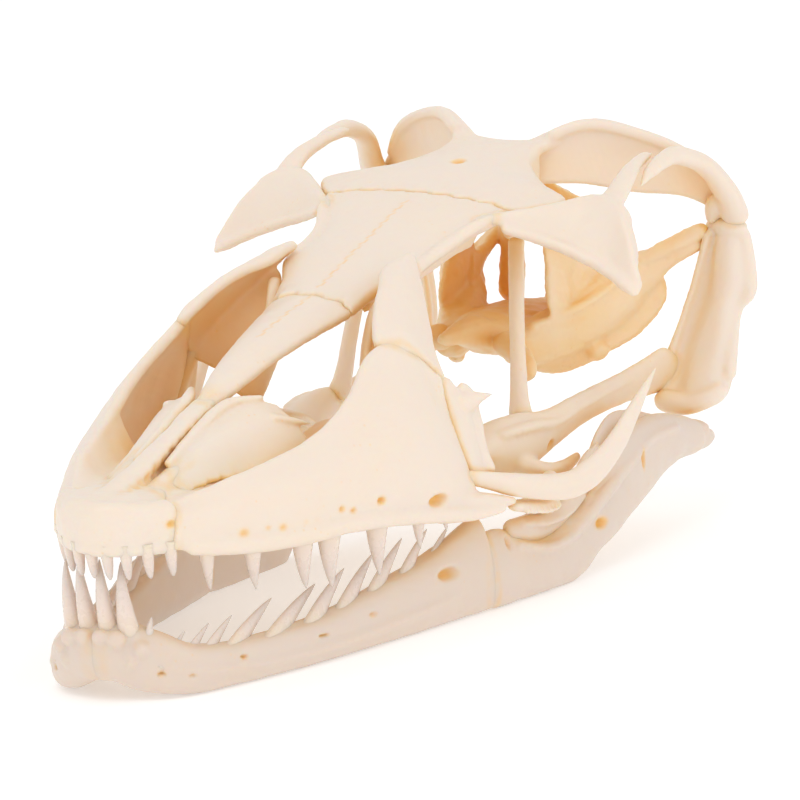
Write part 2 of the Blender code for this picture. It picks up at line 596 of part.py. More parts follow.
def postdentary(name="postdentary_left", belly=0.0):
    """The rear half of the jaw; belly lowers its underside where it stands on the table."""
    def bar(s):
        path = [(24.1, 64.2, 6.1, 1.5, 6.9), (24.8, 70.0, 4.4, 2.0, 5.2), (25.6, 76.0, 3.9, 2.2, 4.7),
                (26.0, 83.6, 4.7, 2.3, 5.4), (26.3, 88.4, 6.6, 2.3, 4.6), (26.6, 93.5, 8.2, 2.3, 4.5),
                (26.6, 99.0, 11.2, 2.4, 5.6), (26.4, 105.0, 13.2, 2.5, 5.8),
                (26.0, 112.0, 14.6, 2.8, 4.8), (25.8, 118.0, 14.8, 3.3, 3.8), (26.0, 123.5, 14.0, 3.3, 2.9),
                (27.0, 126.6, 13.4, 2.0, 1.9), (27.6, 128.6, 13.3, 1.1, 1.1)]
        lowered = []
        for x, y, z, a, b in path:
            drop = belly / 2 * max(0.0, 1 - abs(y - 85) / 20)
            lowered.append((x, y, z - drop, a, b + drop))
        loft(s, lowered)

    def inner_wall(s):
        loft(s, [(23.4, 97.0, 14.6, 0.9, 2.4), (22.6, 105.0, 17.6, 0.9, 2.8), (22.2, 112.0, 17.8, 0.9, 2.3),
                 (22.6, 119.5, 16.2, 1.6, 1.9)])
    return build_bone(name, [bar, inner_wall], JAW_BONE, 0.5)


def coronoid():
    def strip(s):
        loft(s, [(25.2, 67.6, 10.8, 1.1, 1.4), (25.4, 73.0, 9.7, 1.6, 2.0), (25.4, 79.0, 9.8, 1.7, 2.2),
                 (25.2, 85.0, 10.5, 1.5, 1.9), (24.8, 90.5, 12.8, 1.2, 2.5), (24.3, 95.0, 14.8, 1.0, 2.4),
                 (23.9, 98.6, 16.6, 0.5, 1.0)])
    return build_bone("coronoid_left", [strip], JAW_BONE, 0.5)


# Which bone gives way to which, in the order of cutting
SUTURES = (
    ("maxilla_left", ("premaxilla",)),
    ("nasal", ("premaxilla", "maxilla_left")),
    ("frontal", ("nasal",)),
    ("prefrontal_left", ("maxilla_left", "frontal", "nasal")),
    ("parietal", ("frontal",)),
    ("postorbitofrontal_left", ("frontal", "parietal")),
    ("squamosal_left", ("postorbitofrontal_left", "parietal")),
    ("quadrate_left", ("squamosal_left", "parietal")),
    ("lacrimal_left", ("maxilla_left", "prefrontal_left")),
    ("jugal_left", ("maxilla_left", "lacrimal_left")),
    ("vomer_left", ("premaxilla",)),
    ("palatine_left", ("maxilla_left", "prefrontal_left", "vomer_left", "lacrimal_left", "jugal_left")),
    ("pterygoid_left", ("palatine_left", "quadrate_left")),
    ("ectopterygoid_left", ("maxilla_left", "jugal_left", "pterygoid_left", "palatine_left")),
    ("epipterygoid_left", ("pterygoid_left", "parietal")),
    ("septomaxilla_left", ("premaxilla", "maxilla_left", "nasal")),
)
JAW_SUTURES = (
    ("postdentary_left", ("dentary_left",)),
    ("coronoid_left", ("dentary_left", "postdentary_left")),
)
MIDDLE_BONES = ("premaxilla", "nasal", "frontal", "parietal", "braincase")


def build_all():
    for draw in (premaxilla, maxilla, septomaxilla, nasal, frontal, parietal, prefrontal, lacrimal, jugal,
                 ectopterygoid, postorbitofrontal, squamosal, quadrate, braincase, pterygoid, epipterygoid,
                 palatine, vomer, dentary, postdentary, coronoid):
        draw()
    bones = bpy.data.objects
    postdentary("rear_jaw_twin", RIGHT_BELLY)
    flatten_bottom(bones["dentary_left"])
    flatten_bottom(bones["postdentary_left"])
    for name, neighbours in SUTURES + JAW_SUTURES:
        for other in neighbours:
            open_suture(bones[name], bones[other])
            if name in MIDDLE_BONES and other not in MIDDLE_BONES:
                twin = mirrored(bones[other], "twin")
                open_suture(bones[name], twin)
                bpy.data.objects.remove(twin, do_unlink=True)
    for bone in bones:
        if bone.type == "MESH":
            thin_out(bone)


def hang(root):
    """Mirror the paired bones and hang every bone from its part of the skull."""
    cranium = bpy.data.objects.new("cranium_frame", None)
    jaw = bpy.data.objects.new("lower_jaw_frame", None)
    rear = bpy.data.objects.new("right_jaw_joint", None)
    for empty in (cranium, jaw, rear):
        bpy.context.collection.objects.link(empty)
    cranium.rotation_euler = [math.radians(a) for a in CRANIUM_TILT]
    cranium.parent = root
    jaw.parent = root
    rear.parent = jaw
    rear.location = [c * MM for c in JAW_JOINT]
    rear.rotation_euler = (math.radians(RIGHT_JAW_LIFT), 0, 0)
    for bone in [o for o in bpy.data.objects if o.type == "MESH"]:
        lower = bone.name.startswith(("dentary", "postdentary", "coronoid"))
        bone.parent = jaw if lower else cranium
        if not bone.name.endswith("_left"):
            continue
        model = bpy.data.objects["rear_jaw_twin"] if bone.name == "postdentary_left" else bone
        twin = mirrored(model, bone.name.replace("_left", "_right"))
        if bone.name.startswith(("postdentary", "coronoid")):
            twin.parent = rear
            twin.location = [-c * MM for c in JAW_JOINT]
        else:
            twin.parent = jaw if lower else cranium
    bones = bpy.data.objects
    bones.remove(bones["rear_jaw_twin"], do_unlink=True)
    bpy.context.view_layer.update()
    open_suture(bones["postdentary_right"], bones["dentary_right"])
    flatten_bottom(bones["postdentary_right"])


root = bpy.data.objects.new("skull", None)
bpy.context.collection.objects.link(root)
build_all()
hang(root)
root.location = (SIDE_SHIFT * MM, SNOUT_SHIFT * MM, 0.0)
for bone in bpy.data.objects:
    if bone.type == "MESH":
        bone.data.shade_smooth()
        bone.data.set_sharp_from_angle(angle=math.radians(35))
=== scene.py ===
"""Looks of an adult monitor lizard's cleaned skull, its cranium resting on its lower jaw.

Lengths inside the bone classes are millimetres in the skull's own frame: x to its left side,
y back from the tip of the snout, z up from the table.
"""
import logging
import math
from dataclasses import dataclass, field
from enum import Enum
from typing import Dict, List, Optional, Sequence, Tuple, Union

import bpy
import numpy as np
from mathutils import Euler, Matrix, Vector


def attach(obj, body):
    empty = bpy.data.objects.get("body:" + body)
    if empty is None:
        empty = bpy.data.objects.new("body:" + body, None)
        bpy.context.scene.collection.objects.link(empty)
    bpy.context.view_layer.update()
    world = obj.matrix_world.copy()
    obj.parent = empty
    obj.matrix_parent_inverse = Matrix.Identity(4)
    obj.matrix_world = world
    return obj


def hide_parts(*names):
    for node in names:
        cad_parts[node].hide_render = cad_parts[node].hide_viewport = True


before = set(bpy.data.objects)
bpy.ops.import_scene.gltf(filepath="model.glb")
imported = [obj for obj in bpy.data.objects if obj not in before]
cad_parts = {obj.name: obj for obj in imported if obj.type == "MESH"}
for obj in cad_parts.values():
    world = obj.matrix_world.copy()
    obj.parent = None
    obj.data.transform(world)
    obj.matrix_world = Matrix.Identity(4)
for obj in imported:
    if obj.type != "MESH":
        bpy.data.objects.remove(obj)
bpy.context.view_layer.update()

log = logging.getLogger("skull")
logging.basicConfig(level=logging.INFO, format="%(message)s")

Array = np.ndarray
Colour = Tuple[float, float, float, float]

MM = 0.001
SNOUT_SHIFT = (-0.85, -68.4, 0.0)     # from the snout's tip to the middle of the skull
CRANIUM_TILT = (2.0, 5.8, 1.4)        # degrees; the cranium leans a little on the jaw
RIGHT_JAW_LIFT = 4.3                  # degrees; rear half of the right jaw
JAW_JOINT = (0.0, 63.0, 7.0)
RAISED_BONES = ("postdentary", "coronoid")    # those of the right side go up with that rear half
GRAIN_SIZE = 0.34                     # finest form kept when pieces of one bone grow together
SEAM_WAVES = ((0.45, 1.7, 0.6), (0.22, 4.3, 1.0))      # height, rate and shift of each wave
GROOVE_WAVES = ((0.22, 3.1, 0.0), (0.12, 7.3, 1.0))
RELIEF = ((1.0, 5.0, 7), (0.4, 1.7, 11))               # share, size in millimetres and seed


class Side(Enum):
    """Which side of the skull a bone lies on."""

    LEFT = "left"
    RIGHT = "right"
    MIDDLE = "middle"


class Part(Enum):
    """The loose part of the skull that carries a bone."""

    CRANIUM = "cranium"
    JAW = "jaw"
    RAISED_JAW = "raised_jaw"


# Surfaces

@dataclass
class Shell:
    """A closed surface: its points, quads and triangles."""

    points: Array
    quads: Array
    fans: Array = field(default_factory=lambda: np.zeros((0, 3), int))


def spline(points: Sequence, count: int) -> Array:
    """Carry a smooth curve, or a grid of them, through its points.

    Between two neighbours the place is the Catmull-Rom cubic of the four points around it.

    Args:
        points: control points, along the first axis.
        count: number of places wanted along that axis.

    Returns:
        The places, with the other axes unchanged.
    """
    p = np.asarray(points, float)
    spans = len(p) - 1
    padded = np.concatenate([2 * p[:1] - p[1:2], p, 2 * p[-1:] - p[-2:-1]])
    t = np.linspace(0, spans, count)
    k = np.minimum(t.astype(int), spans - 1)
    f = (t - k).reshape((-1,) + (1,) * (p.ndim - 1))
    a, b, c, d = padded[k], padded[k + 1], padded[k + 2], padded[k + 3]
    return 0.5 * (2 * b + (c - a) * f + (2 * a - 5 * b + 4 * c - d) * f ** 2
                  + (3 * b - a - 3 * c + d) * f ** 3)


def eased(count: int) -> Array:
    """Steps from 0 to 1 that crowd together at both ends, as half a cosine wave."""
    return 0.5 - 0.5 * np.cos(np.linspace(0, math.pi, count))


def resample(values: Array, steps: Array) -> Array:
    """Read evenly spaced rows at new fractions of their length, by straight interpolation."""
    place = steps * (len(values) - 1)
    k = np.minimum(place.astype(int), len(values) - 2)
    f = (place - k).reshape((-1,) + (1,) * (values.ndim - 1))
    return values[k] * (1 - f) + values[k + 1] * f


def unit(vectors: Array) -> Array:
    """Vectors along the last axis scaled to length one."""
    return vectors / np.maximum(np.linalg.norm(vectors, axis=-1, keepdims=True), 1e-9)


def round_off(distance: Array, radius: float) -> Array:
    """Quarter circle: 0 at an edge, 1 from radius inwards."""
    t = np.clip(distance / max(radius, 1e-6), 0.0, 1.0)
    return np.sqrt(1.0 - (1.0 - t) ** 2)


def run_length(points: Array) -> Array:
    """Distance travelled along the first axis, starting at 0."""
    steps = np.linalg.norm(np.diff(points, axis=0), axis=-1)
    return np.concatenate([np.zeros((1,) + steps.shape[1:]), np.cumsum(steps, axis=0)])


def ring_faces(rings: int, around: int) -> Array:
    """Quads that join each closed ring of a stack to the next."""
    i = np.arange(rings - 1)[:, None] * around
    k = np.arange(around)[None, :]
    n = (k + 1) % around
    return np.stack([i + k, i + n, i + around + n, i + around + k], -1).reshape(-1, 4)


def tube(stations: Sequence, up: Sequence = (0, 0, 1), power: float = 2.0,
         steps: int = 56, around: int = 28, blunt: float = 1.0) -> Shell:
    """A bar: an oval profile carried along a smooth path, with rounded ends.

    The profile is the superellipse |x/a|^power + |z/b|^power = 1, turned so that its height
    follows up; a and b fall to nothing at each end along a quarter circle.

    Args:
        stations: rows of x, y, z, half width, half height.
        up: the direction that the profile's height follows.
        power: 2 for an oval, more for a squarer bar.
        steps: rings along the bar.
        around: points on each ring.
        blunt: length of the rounded ends, in half heights.

    Returns:
        The closed bar.
    """
    dense = resample(spline(stations, 160), eased(steps))
    path, wide, high = dense[:, :3], dense[:, 3], dense[:, 4]
    along = run_length(path)
    ends = np.minimum(round_off(along, blunt * max(high[1], 0.05)),
                      round_off(along[-1] - along, blunt * max(high[-2], 0.05)))
    run = unit(np.gradient(path, axis=0))
    across = unit(np.cross(run, np.asarray(up, float)))
    rise = np.cross(across, run)
    turn = np.linspace(0, 2 * math.pi, around, endpoint=False)
    flat = np.sign(np.cos(turn)) * np.abs(np.cos(turn)) ** (2 / power)
    tall = np.sign(np.sin(turn)) * np.abs(np.sin(turn)) ** (2 / power)
    rings = (path[:, None] + across[:, None] * (wide * ends)[:, None, None] * flat[None, :, None]
             + rise[:, None] * (high * ends)[:, None, None] * tall[None, :, None])
    body = rings[1:-1]
    count = len(body)
    points = np.concatenate([body.reshape(-1, 3), path[:1], path[-1:]])
    k = np.arange(around)
    n = (k + 1) % around
    last = (count - 1) * around
    start = np.stack([n, k, np.full(around, count * around)], -1)
    finish = np.stack([last + k, last + n, np.full(around, count * around + 1)], -1)
    return Shell(points, ring_faces(count, around), np.concatenate([start, finish]))


def sheet(rows: Sequence, thickness: float, outward: Sequence, edge: float = 0.5,
          ends: Tuple[float, float] = (0.5, 0.5), taper: Tuple[float, float] = (1.0, 1.0),
          size: Tuple[int, int] = (72, 34), swell: float = 0.0) -> Shell:
    """A curved plate: a smooth outer surface through rows of points, with a second one behind it.

    The plate's depth at a point is thickness, times a quarter-circle rise over edge millimetres
    from its sides and over ends millimetres from its first and last rows, times a share that
    goes from taper[0] to 1 to taper[1] along the rows. Both surfaces draw together to the
    middle of the depth at the rim.

    Args:
        rows: control points of the outer surface, row by row.
        thickness: full depth in millimetres.
        outward: a direction on the outer side of the plate.
        edge: rounding of the two sides.
        ends: rounding of the first and last rows.
        taper: share of the depth at the first and last rows.
        size: points along and across.
        swell: extra depth in the middle of the width, as a share.

    Returns:
        The closed plate.
    """
    grid = np.asarray(rows, float)
    along = resample(spline(grid, 160), eased(size[0]))
    across = resample(spline(np.swapaxes(along, 0, 1), 100), eased(size[1]))
    surface = np.swapaxes(across, 0, 1)
    du = np.gradient(surface, axis=0)
    dv = np.gradient(surface, axis=1)
    normal = unit(np.cross(du, dv))
    if np.sum(normal.reshape(-1, 3) @ np.asarray(outward, float)) < 0:
        normal = -normal
    width = run_length(np.swapaxes(surface, 0, 1)).T
    length = run_length(surface)
    side = np.minimum(width, width[:, -1:] - width)
    near = np.minimum(round_off(length, ends[0]), round_off(length[-1:] - length, ends[1]))
    t = eased(size[0])[:, None]
    share = np.where(t < 0.5, taper[0] + (1 - taper[0]) * np.sin(np.pi * t),
                     taper[1] + (1 - taper[1]) * np.sin(np.pi * t))
    middle = np.sin(np.pi * width / np.maximum(width[:, -1:], 1e-6))
    depth = thickness * share * (1 + swell * middle)
    fill = round_off(side, edge) * near
    outer = surface - normal * (depth * (1 - fill) / 2)[..., None]
    inner = surface - normal * (depth * (1 + fill) / 2)[..., None]
    rings = np.concatenate([outer, inner[:, -2:0:-1]], axis=1)
    return Shell(rings.reshape(-1, 3), ring_faces(len(rings), rings.shape[1]))


def ball(centre: Sequence, radii: Sequence, around: int = 20) -> Shell:
    """A rounded lump: an ellipsoid drawn as a short tube of circles from pole to pole."""
    turn = np.linspace(-math.pi / 2, math.pi / 2, around)
    x, y, z = centre
    a, b, c = radii
    stations = np.stack([np.full(around, x), np.full(around, y), z + c * np.sin(turn),
                         a * np.cos(turn) + 1e-3, b * np.cos(turn) + 1e-3], -1)
    return tube(stations, up=(0, 1, 0), blunt=0.01)


def flipped(shell: Shell) -> Shell:
    """The shell's mirror image across the skull's middle plane."""
    points = shell.points * np.array([-1.0, 1.0, 1.0])
    return Shell(points, shell.quads[:, ::-1].copy(), shell.fans[:, ::-1].copy())


def both(shell: Shell) -> List[Shell]:
    """The shell and its mirror image."""
    return [shell, flipped(shell)]


def merged(shells: Sequence[Shell]) -> Shell:
    """Several shells as one list of points and faces."""
    offsets = np.cumsum([0] + [len(s.points) for s in shells[:-1]])
    points = np.concatenate([s.points for s in shells])
    quads = np.concatenate([s.quads + o for s, o in zip(shells, offsets)])
    fans = np.concatenate([s.fans + o for s, o in zip(shells, offsets)])
    return Shell(points, quads, fans)


def waves(places: Array, terms: Sequence[Tuple[float, float, float]]) -> Array:
    """Sum of sine waves, each given by its height, rate and shift."""
    return sum(height * np.sin(places * rate + shift) for height, rate, shift in terms)


def stagger(points: Array, along: float, reach: float) -> None:
    """Make a crossing seam ragged: shift y near y = along by waves of x that fade over reach."""
    shift = waves(points[:, 0], SEAM_WAVES)
    points[:, 1] += shift * np.clip(1 - np.abs(points[:, 1] - along) / reach, 0, 1)


def across(points: Sequence) -> List[Tuple[float, float, float]]:
    """A row over the middle of the skull, from its left half given outwards from x = 0."""
    return [(-x, y, z) for x, y, z in reversed(list(points)) if x > 0] + list(points)


# Meshes

def mesh_from(name: str, shell: Shell) -> bpy.types.Mesh:
    """Put a shell into a mesh, in millimetres.

    Args:
        name: the mesh's name.
        shell: points and faces.

    Returns:
        The new mesh, its faces pointing outwards.
    """
    a = shell.points[shell.quads[:, 0]]
    b = shell.points[shell.quads[:, 1]]
    c = shell.points[shell.quads[:, 2]]
    inside_out = np.einsum("ij,ij->i", a, np.cross(b, c)).sum() < 0
    quads = shell.quads[:, ::-1] if inside_out else shell.quads
    fans = shell.fans[:, ::-1] if inside_out else shell.fans
    mesh = bpy.data.meshes.new(name)
    mesh.from_pydata(shell.points.tolist(), [], quads.tolist() + fans.tolist())
    mesh.update()
    return mesh


def points_of(mesh: bpy.types.Mesh) -> Array:
    """The mesh's points as an array."""
    flat = np.empty(len(mesh.vertices) * 3, np.float32)
    mesh.vertices.foreach_get("co", flat)
    return flat.reshape(-1, 3).astype(float)


def normals_of(mesh: bpy.types.Mesh) -> Array:
    """The mesh's point normals as an array."""
    flat = np.empty(len(mesh.vertices) * 3, np.float32)
    mesh.vertex_normals.foreach_get("vector", flat)
    return flat.reshape(-1, 3).astype(float)


def set_points(mesh: bpy.types.Mesh, points: Array) -> None:
    """Move the mesh's points."""
    mesh.vertices.foreach_set("co", points.astype(np.float32).ravel())
    mesh.update()


def keep_values(mesh: bpy.types.Mesh, label: str, values: Array) -> None:
    """Write a number for each point of a mesh, for its material to read."""
    layer = mesh.attributes.new(label, "FLOAT", "POINT")
    layer.data.foreach_set("value", values.astype(np.float32))


def linked(name: str, data: bpy.types.ID) -> bpy.types.Object:
    """Make an object of a mesh, light or camera and put it in the scene."""
    thing = bpy.data.objects.new(name, data)
    bpy.context.collection.objects.link(thing)
    return thing


def grown_together(name: str, shells: Sequence[Shell], grain: float, smoothing: int) -> bpy.types.Mesh:
    """Grow the shells of one bone into a single smooth surface.

    Args:
        name: the mesh's name.
        shells: overlapping closed shells.
        grain: size of the cells that join them, in millimetres.
        smoothing: rounds of smoothing after that.

    Returns:
        The finished mesh, in millimetres.
    """
    source = linked(name, mesh_from(name + "_shells", merged(shells)))
    fuse = source.modifiers.new("fuse", "REMESH")
    fuse.mode = "VOXEL"
    fuse.voxel_size = grain
    soften = source.modifiers.new("soften", "SMOOTH")
    soften.factor = 0.5
    soften.iterations = smoothing
    graph = bpy.context.evaluated_depsgraph_get()
    mesh = bpy.data.meshes.new_from_object(source.evaluated_get(graph))
    mesh.name = name
    old = source.data
    bpy.data.objects.remove(source, do_unlink=True)
    bpy.data.meshes.remove(old)
    return mesh


def mirror_mesh(mesh: bpy.types.Mesh, name: str) -> bpy.types.Mesh:
    """Copy a mesh to the other side of the skull, still facing outwards."""
    twin = mesh.copy()
    twin.name = name
    set_points(twin, points_of(twin) * np.array([-1.0, 1.0, 1.0]))
    twin.flip_normals()
    return twin


# Fine forms

@dataclass(frozen=True)
class Pit:
    """A foramen: where it is, how wide, how deep, and how far its warm colour spreads."""

    place: Tuple[float, float, float]
    radii: Tuple[float, float, float]
    depth: float = 0.7
    halo: float = 1.5


def pit_field(points: Array, pits: Sequence[Pit]) -> Tuple[Array, Array]:
    """Depth and colour share of a set of foramina at each point.

    A point's distance from a foramen is measured in that foramen's radii; the depth falls as a
    smooth bell inside one radius, and the colour as a wider bell.

    Args:
        points: places on the bone.
        pits: the foramina.

    Returns:
        The depth in millimetres and the colour share from 0 to 1.
    """
    depth = np.zeros(len(points))
    tint = np.zeros(len(points))
    for pit in pits:
        gap = np.linalg.norm((points - np.array(pit.place)) / np.array(pit.radii), axis=1)
        depth = np.maximum(depth, pit.depth * np.exp(-(gap ** 4)))
        tint = np.maximum(tint, np.exp(-((gap / pit.halo) ** 4)))
    return depth, tint


@dataclass(frozen=True)
class Fold:
    """A fine groove along a line of points: how wide and how deep it is."""

    line: Tuple[Tuple[float, float, float], ...]
    width: float
    depth: float


def fold_field(points: Array, folds: Sequence[Fold]) -> Tuple[Array, Array]:
    """Depth and colour share of a set of grooves at each point.

    A groove keeps to one x, which wanders in waves along y. Depth and colour fall as a bell
    across it, and as another with the distance to the nearest straight stretch of its line.

    Args:
        points: places on the bone.
        folds: the grooves.

    Returns:
        The depth in millimetres and the colour share from 0 to 1.
    """
    depth = np.zeros(len(points))
    tint = np.zeros(len(points))
    flat_half = 0.9
    moved = points + waves(points[:, 1], GROOVE_WAVES)[:, None] * np.array([1.0, 0.0, 0.0])
    for fold in folds:
        nearest = np.full(len(points), 99.0)
        for start, end in zip(fold.line[:-1], fold.line[1:]):
            a, b = np.array(start), np.array(end)
            along = np.clip((moved - a) @ (b - a) / np.sum((b - a) ** 2), 0, 1)
            gap = np.linalg.norm(moved - a - along[:, None] * (b - a), axis=1)
            nearest = np.minimum(nearest, gap)
        side = np.abs(moved[:, 0] - fold.line[0][0])
        bell = np.exp(-((np.maximum(nearest - flat_half, 0) / fold.width) ** 2) - (side / fold.width) ** 2)
        depth = np.maximum(depth, fold.depth * bell)
        tint = np.maximum(tint, 0.6 * bell)
    return depth, tint


def ripple(points: Array, scale: float, seed: int) -> Array:
    """Soft uneven relief between -1 and 1: a sum of sine waves in fixed scattered directions."""
    count, gain = 14, 2.2
    rng = np.random.RandomState(seed)
    ways = unit(rng.normal(size=(count, 3))) * rng.uniform(0.6, 1.9, (count, 1)) / scale
    shift = rng.uniform(0, 2 * math.pi, count)
    return np.sin(points @ ways.T * 2 * math.pi + shift).mean(axis=1) * gain


def cell_counts(points: Array, low: Array, cell: float, shape: Tuple[int, int, int]) -> Array:
    """Mark the cells of a box grid that hold any of the points."""
    index = np.floor((points - low) / cell).astype(int)
    keep = np.all((index >= 0) & (index < np.array(shape)), axis=1)
    index = index[keep]
    flat = np.ravel_multi_index(index.T, shape) if len(index) else np.zeros(0, int)
    return (np.bincount(flat, minlength=int(np.prod(shape))) > 0).reshape(shape).astype(np.float32)


def box_blur(volume: Array, reach: int) -> Array:
    """Average over a cube of cells, as three running means."""
    for axis in range(3):
        padded = np.concatenate([np.zeros_like(np.take(volume, [0], axis)),
                                 np.cumsum(volume, axis=axis)], axis=axis)
        size = volume.shape[axis]
        high = np.minimum(np.arange(size) + reach + 1, size)
        low = np.maximum(np.arange(size) - reach, 0)
        volume = (np.take(padded, high, axis) - np.take(padded, low, axis)) / (2 * reach + 1)
    return volume


def sample(volume: Array, points: Array, low: Array, cell: float) -> Array:
    """Read a grid at points, by straight interpolation between cell middles."""
    place = (points - low) / cell - 0.5
    top = np.array(volume.shape) - 2
    k = np.clip(np.floor(place).astype(int), 0, top)
    f = np.clip(place - k, 0, 1)
    total = np.zeros(len(points))
    for corner in range(8):
        step = np.array([corner & 1, corner >> 1 & 1, corner >> 2 & 1])
        weight = np.prod(np.where(step, f, 1 - f), axis=1)
        x, y, z = (k + step).T
        total += weight * volume[x, y, z]
    return total


class SkyShade:
    """How much of the sky the bones hide from places on them.

    Bone fills the cells of a box grid. In each of a ball of directions the light that reaches
    a cell is exp(-DENSITY * filled cells passed), and a surface weighs each direction by its
    slope to it plus WRAP.
    """

    CELL = 1.0        # side of a cell in millimetres
    MARGIN = 4        # empty room round the bones, in millimetres
    REACH = 34        # cells looked through
    DENSITY = 0.9
    WRAP = 0.15
    LIFT = 1.3        # how far over a surface its light is read, in millimetres
    RINGS = ((0.0, 1), (0.62, 6), (1.1, 8), (1.57, 10), (2.2, 6))    # angle from the zenith, number

    def __init__(self, points: Array) -> None:
        """Fill the grid with the given points of all bones."""
        self.low = points.min(axis=0) - self.MARGIN
        size = points.max(axis=0) + self.MARGIN - self.low
        self.shape = tuple(int(v) for v in np.ceil(size / self.CELL))
        self.filled = cell_counts(points, self.low, self.CELL, self.shape)

    def directions(self) -> Array:
        """Unit directions in rings round the zenith."""
        found = []
        for lean, count in self.RINGS:
            turn = np.arange(count) / count * 2 * math.pi + lean
            found += [(math.sin(lean) * math.cos(t), math.sin(lean) * math.sin(t),
                       math.cos(lean)) for t in turn]
        return np.array(found)

    def light_along(self, way: Array) -> Array:
        """Light that arrives in every cell from one direction."""
        passed = np.zeros(self.shape, np.float32)
        for step in range(2, self.REACH):
            shift = np.round(way * step).astype(int)
            here = tuple(slice(max(0, -s), n - max(0, s)) for s, n in zip(shift, self.shape))
            there = tuple(slice(max(0, s), n - max(0, -s)) for s, n in zip(shift, self.shape))
            if min(h.stop - h.start for h in here) <= 0:
                break
            passed[here] += self.filled[there]
        return np.exp(-passed * self.DENSITY)

    def hidden(self, points: Dict[str, Array], normals: Dict[str, Array]) -> Dict[str, Array]:
        """Share of the sky hidden from each point, bone by bone."""
        lit = {name: np.zeros(len(p)) for name, p in points.items()}
        total = {name: np.zeros(len(p)) for name, p in points.items()}
        for way in self.directions():
            light = box_blur(self.light_along(way), 1)
            for name, places in points.items():
                slope = np.clip(normals[name] @ way + self.WRAP, 0, 1)
                over = places + normals[name] * self.LIFT
                lit[name] += slope * sample(light, over, self.low, self.CELL)
                total[name] += slope
        return {name: 1 - lit[name] / np.maximum(total[name], 1e-6) for name in points}


# Finishes

@dataclass(frozen=True)
class BoneFinish:
    """Dry bone: a pale colour, painted shade that turns it warm and then deep orange where other bone hides
    the sky, and a seam colour where bones grow together and at foramina.
    """

    name: str
    slot: str
    pale: Colour
    # Warm serves both the bone's own warm patches and flecks and the first step of the painted shade; the
    # next colour is painted shade alone, for the most hidden places.
    warm: Colour
    shade_amber: Colour
    seam: Colour
    roughness: float
    # Strength of the painted shade.
    shade_gain: float = 1.0
    gloss: float = 0.12


@dataclass(frozen=True)
class ToothFinish:
    """Tooth: bone-pale at the root, smoky and clear towards the tip."""

    name: str
    root: Colour
    crown: Colour
    tip: Colour
    roughness: float = 0.28


# Each finish lists pale, warm, the painted shade colour for the most hidden places and the seam colour,
# then roughness.
CRANIUM = BoneFinish("cranium_bone", "cranium_bone", (0.85, 0.735, 0.625, 1), (0.88, 0.715, 0.51, 1),
                     (0.90, 0.56, 0.19, 1), (0.91, 0.54, 0.13, 1), 0.46)
JAW = BoneFinish("jaw_bone", "jaw_bone", (0.74, 0.62, 0.53, 1), (0.80, 0.62, 0.44, 1),
                 (0.86, 0.53, 0.20, 1), (0.90, 0.52, 0.12, 1), 0.42)
# The inner bones' copy of the bone: warmer colours and a stronger painted shade, for the warm shade inside
# the skull.
INNER_SHADED = BoneFinish("deep_bone", "deep_bone", (0.90, 0.75, 0.57, 1), (0.90, 0.66, 0.37, 1),
                  (0.90, 0.50, 0.12, 1), (0.88, 0.50, 0.11, 1), 0.52, 1.25)
TEETH = ToothFinish("tooth", (0.87, 0.72, 0.55, 1), (0.80, 0.68, 0.60, 1), (0.69, 0.61, 0.56, 1))


def new_group(name: str, inputs: Sequence[Tuple[str, str]], outputs: Sequence[Tuple[str, str]]) \
        -> bpy.types.ShaderNodeTree:
    """Make an empty shader node group.

    Args:
        name: the group's name.
        inputs: name and socket type of each input.
        outputs: name and socket type of each output.

    Returns:
        The group, with its input and output nodes in it.
    """
    group = bpy.data.node_groups.new(name, "ShaderNodeTree")
    for label, kind in inputs:
        group.interface.new_socket(label, in_out="INPUT", socket_type=kind)
    for label, kind in outputs:
        group.interface.new_socket(label, in_out="OUTPUT", socket_type=kind)
    group.nodes.new("NodeGroupInput").name = "in"
    group.nodes.new("NodeGroupOutput").name = "out"
    return group


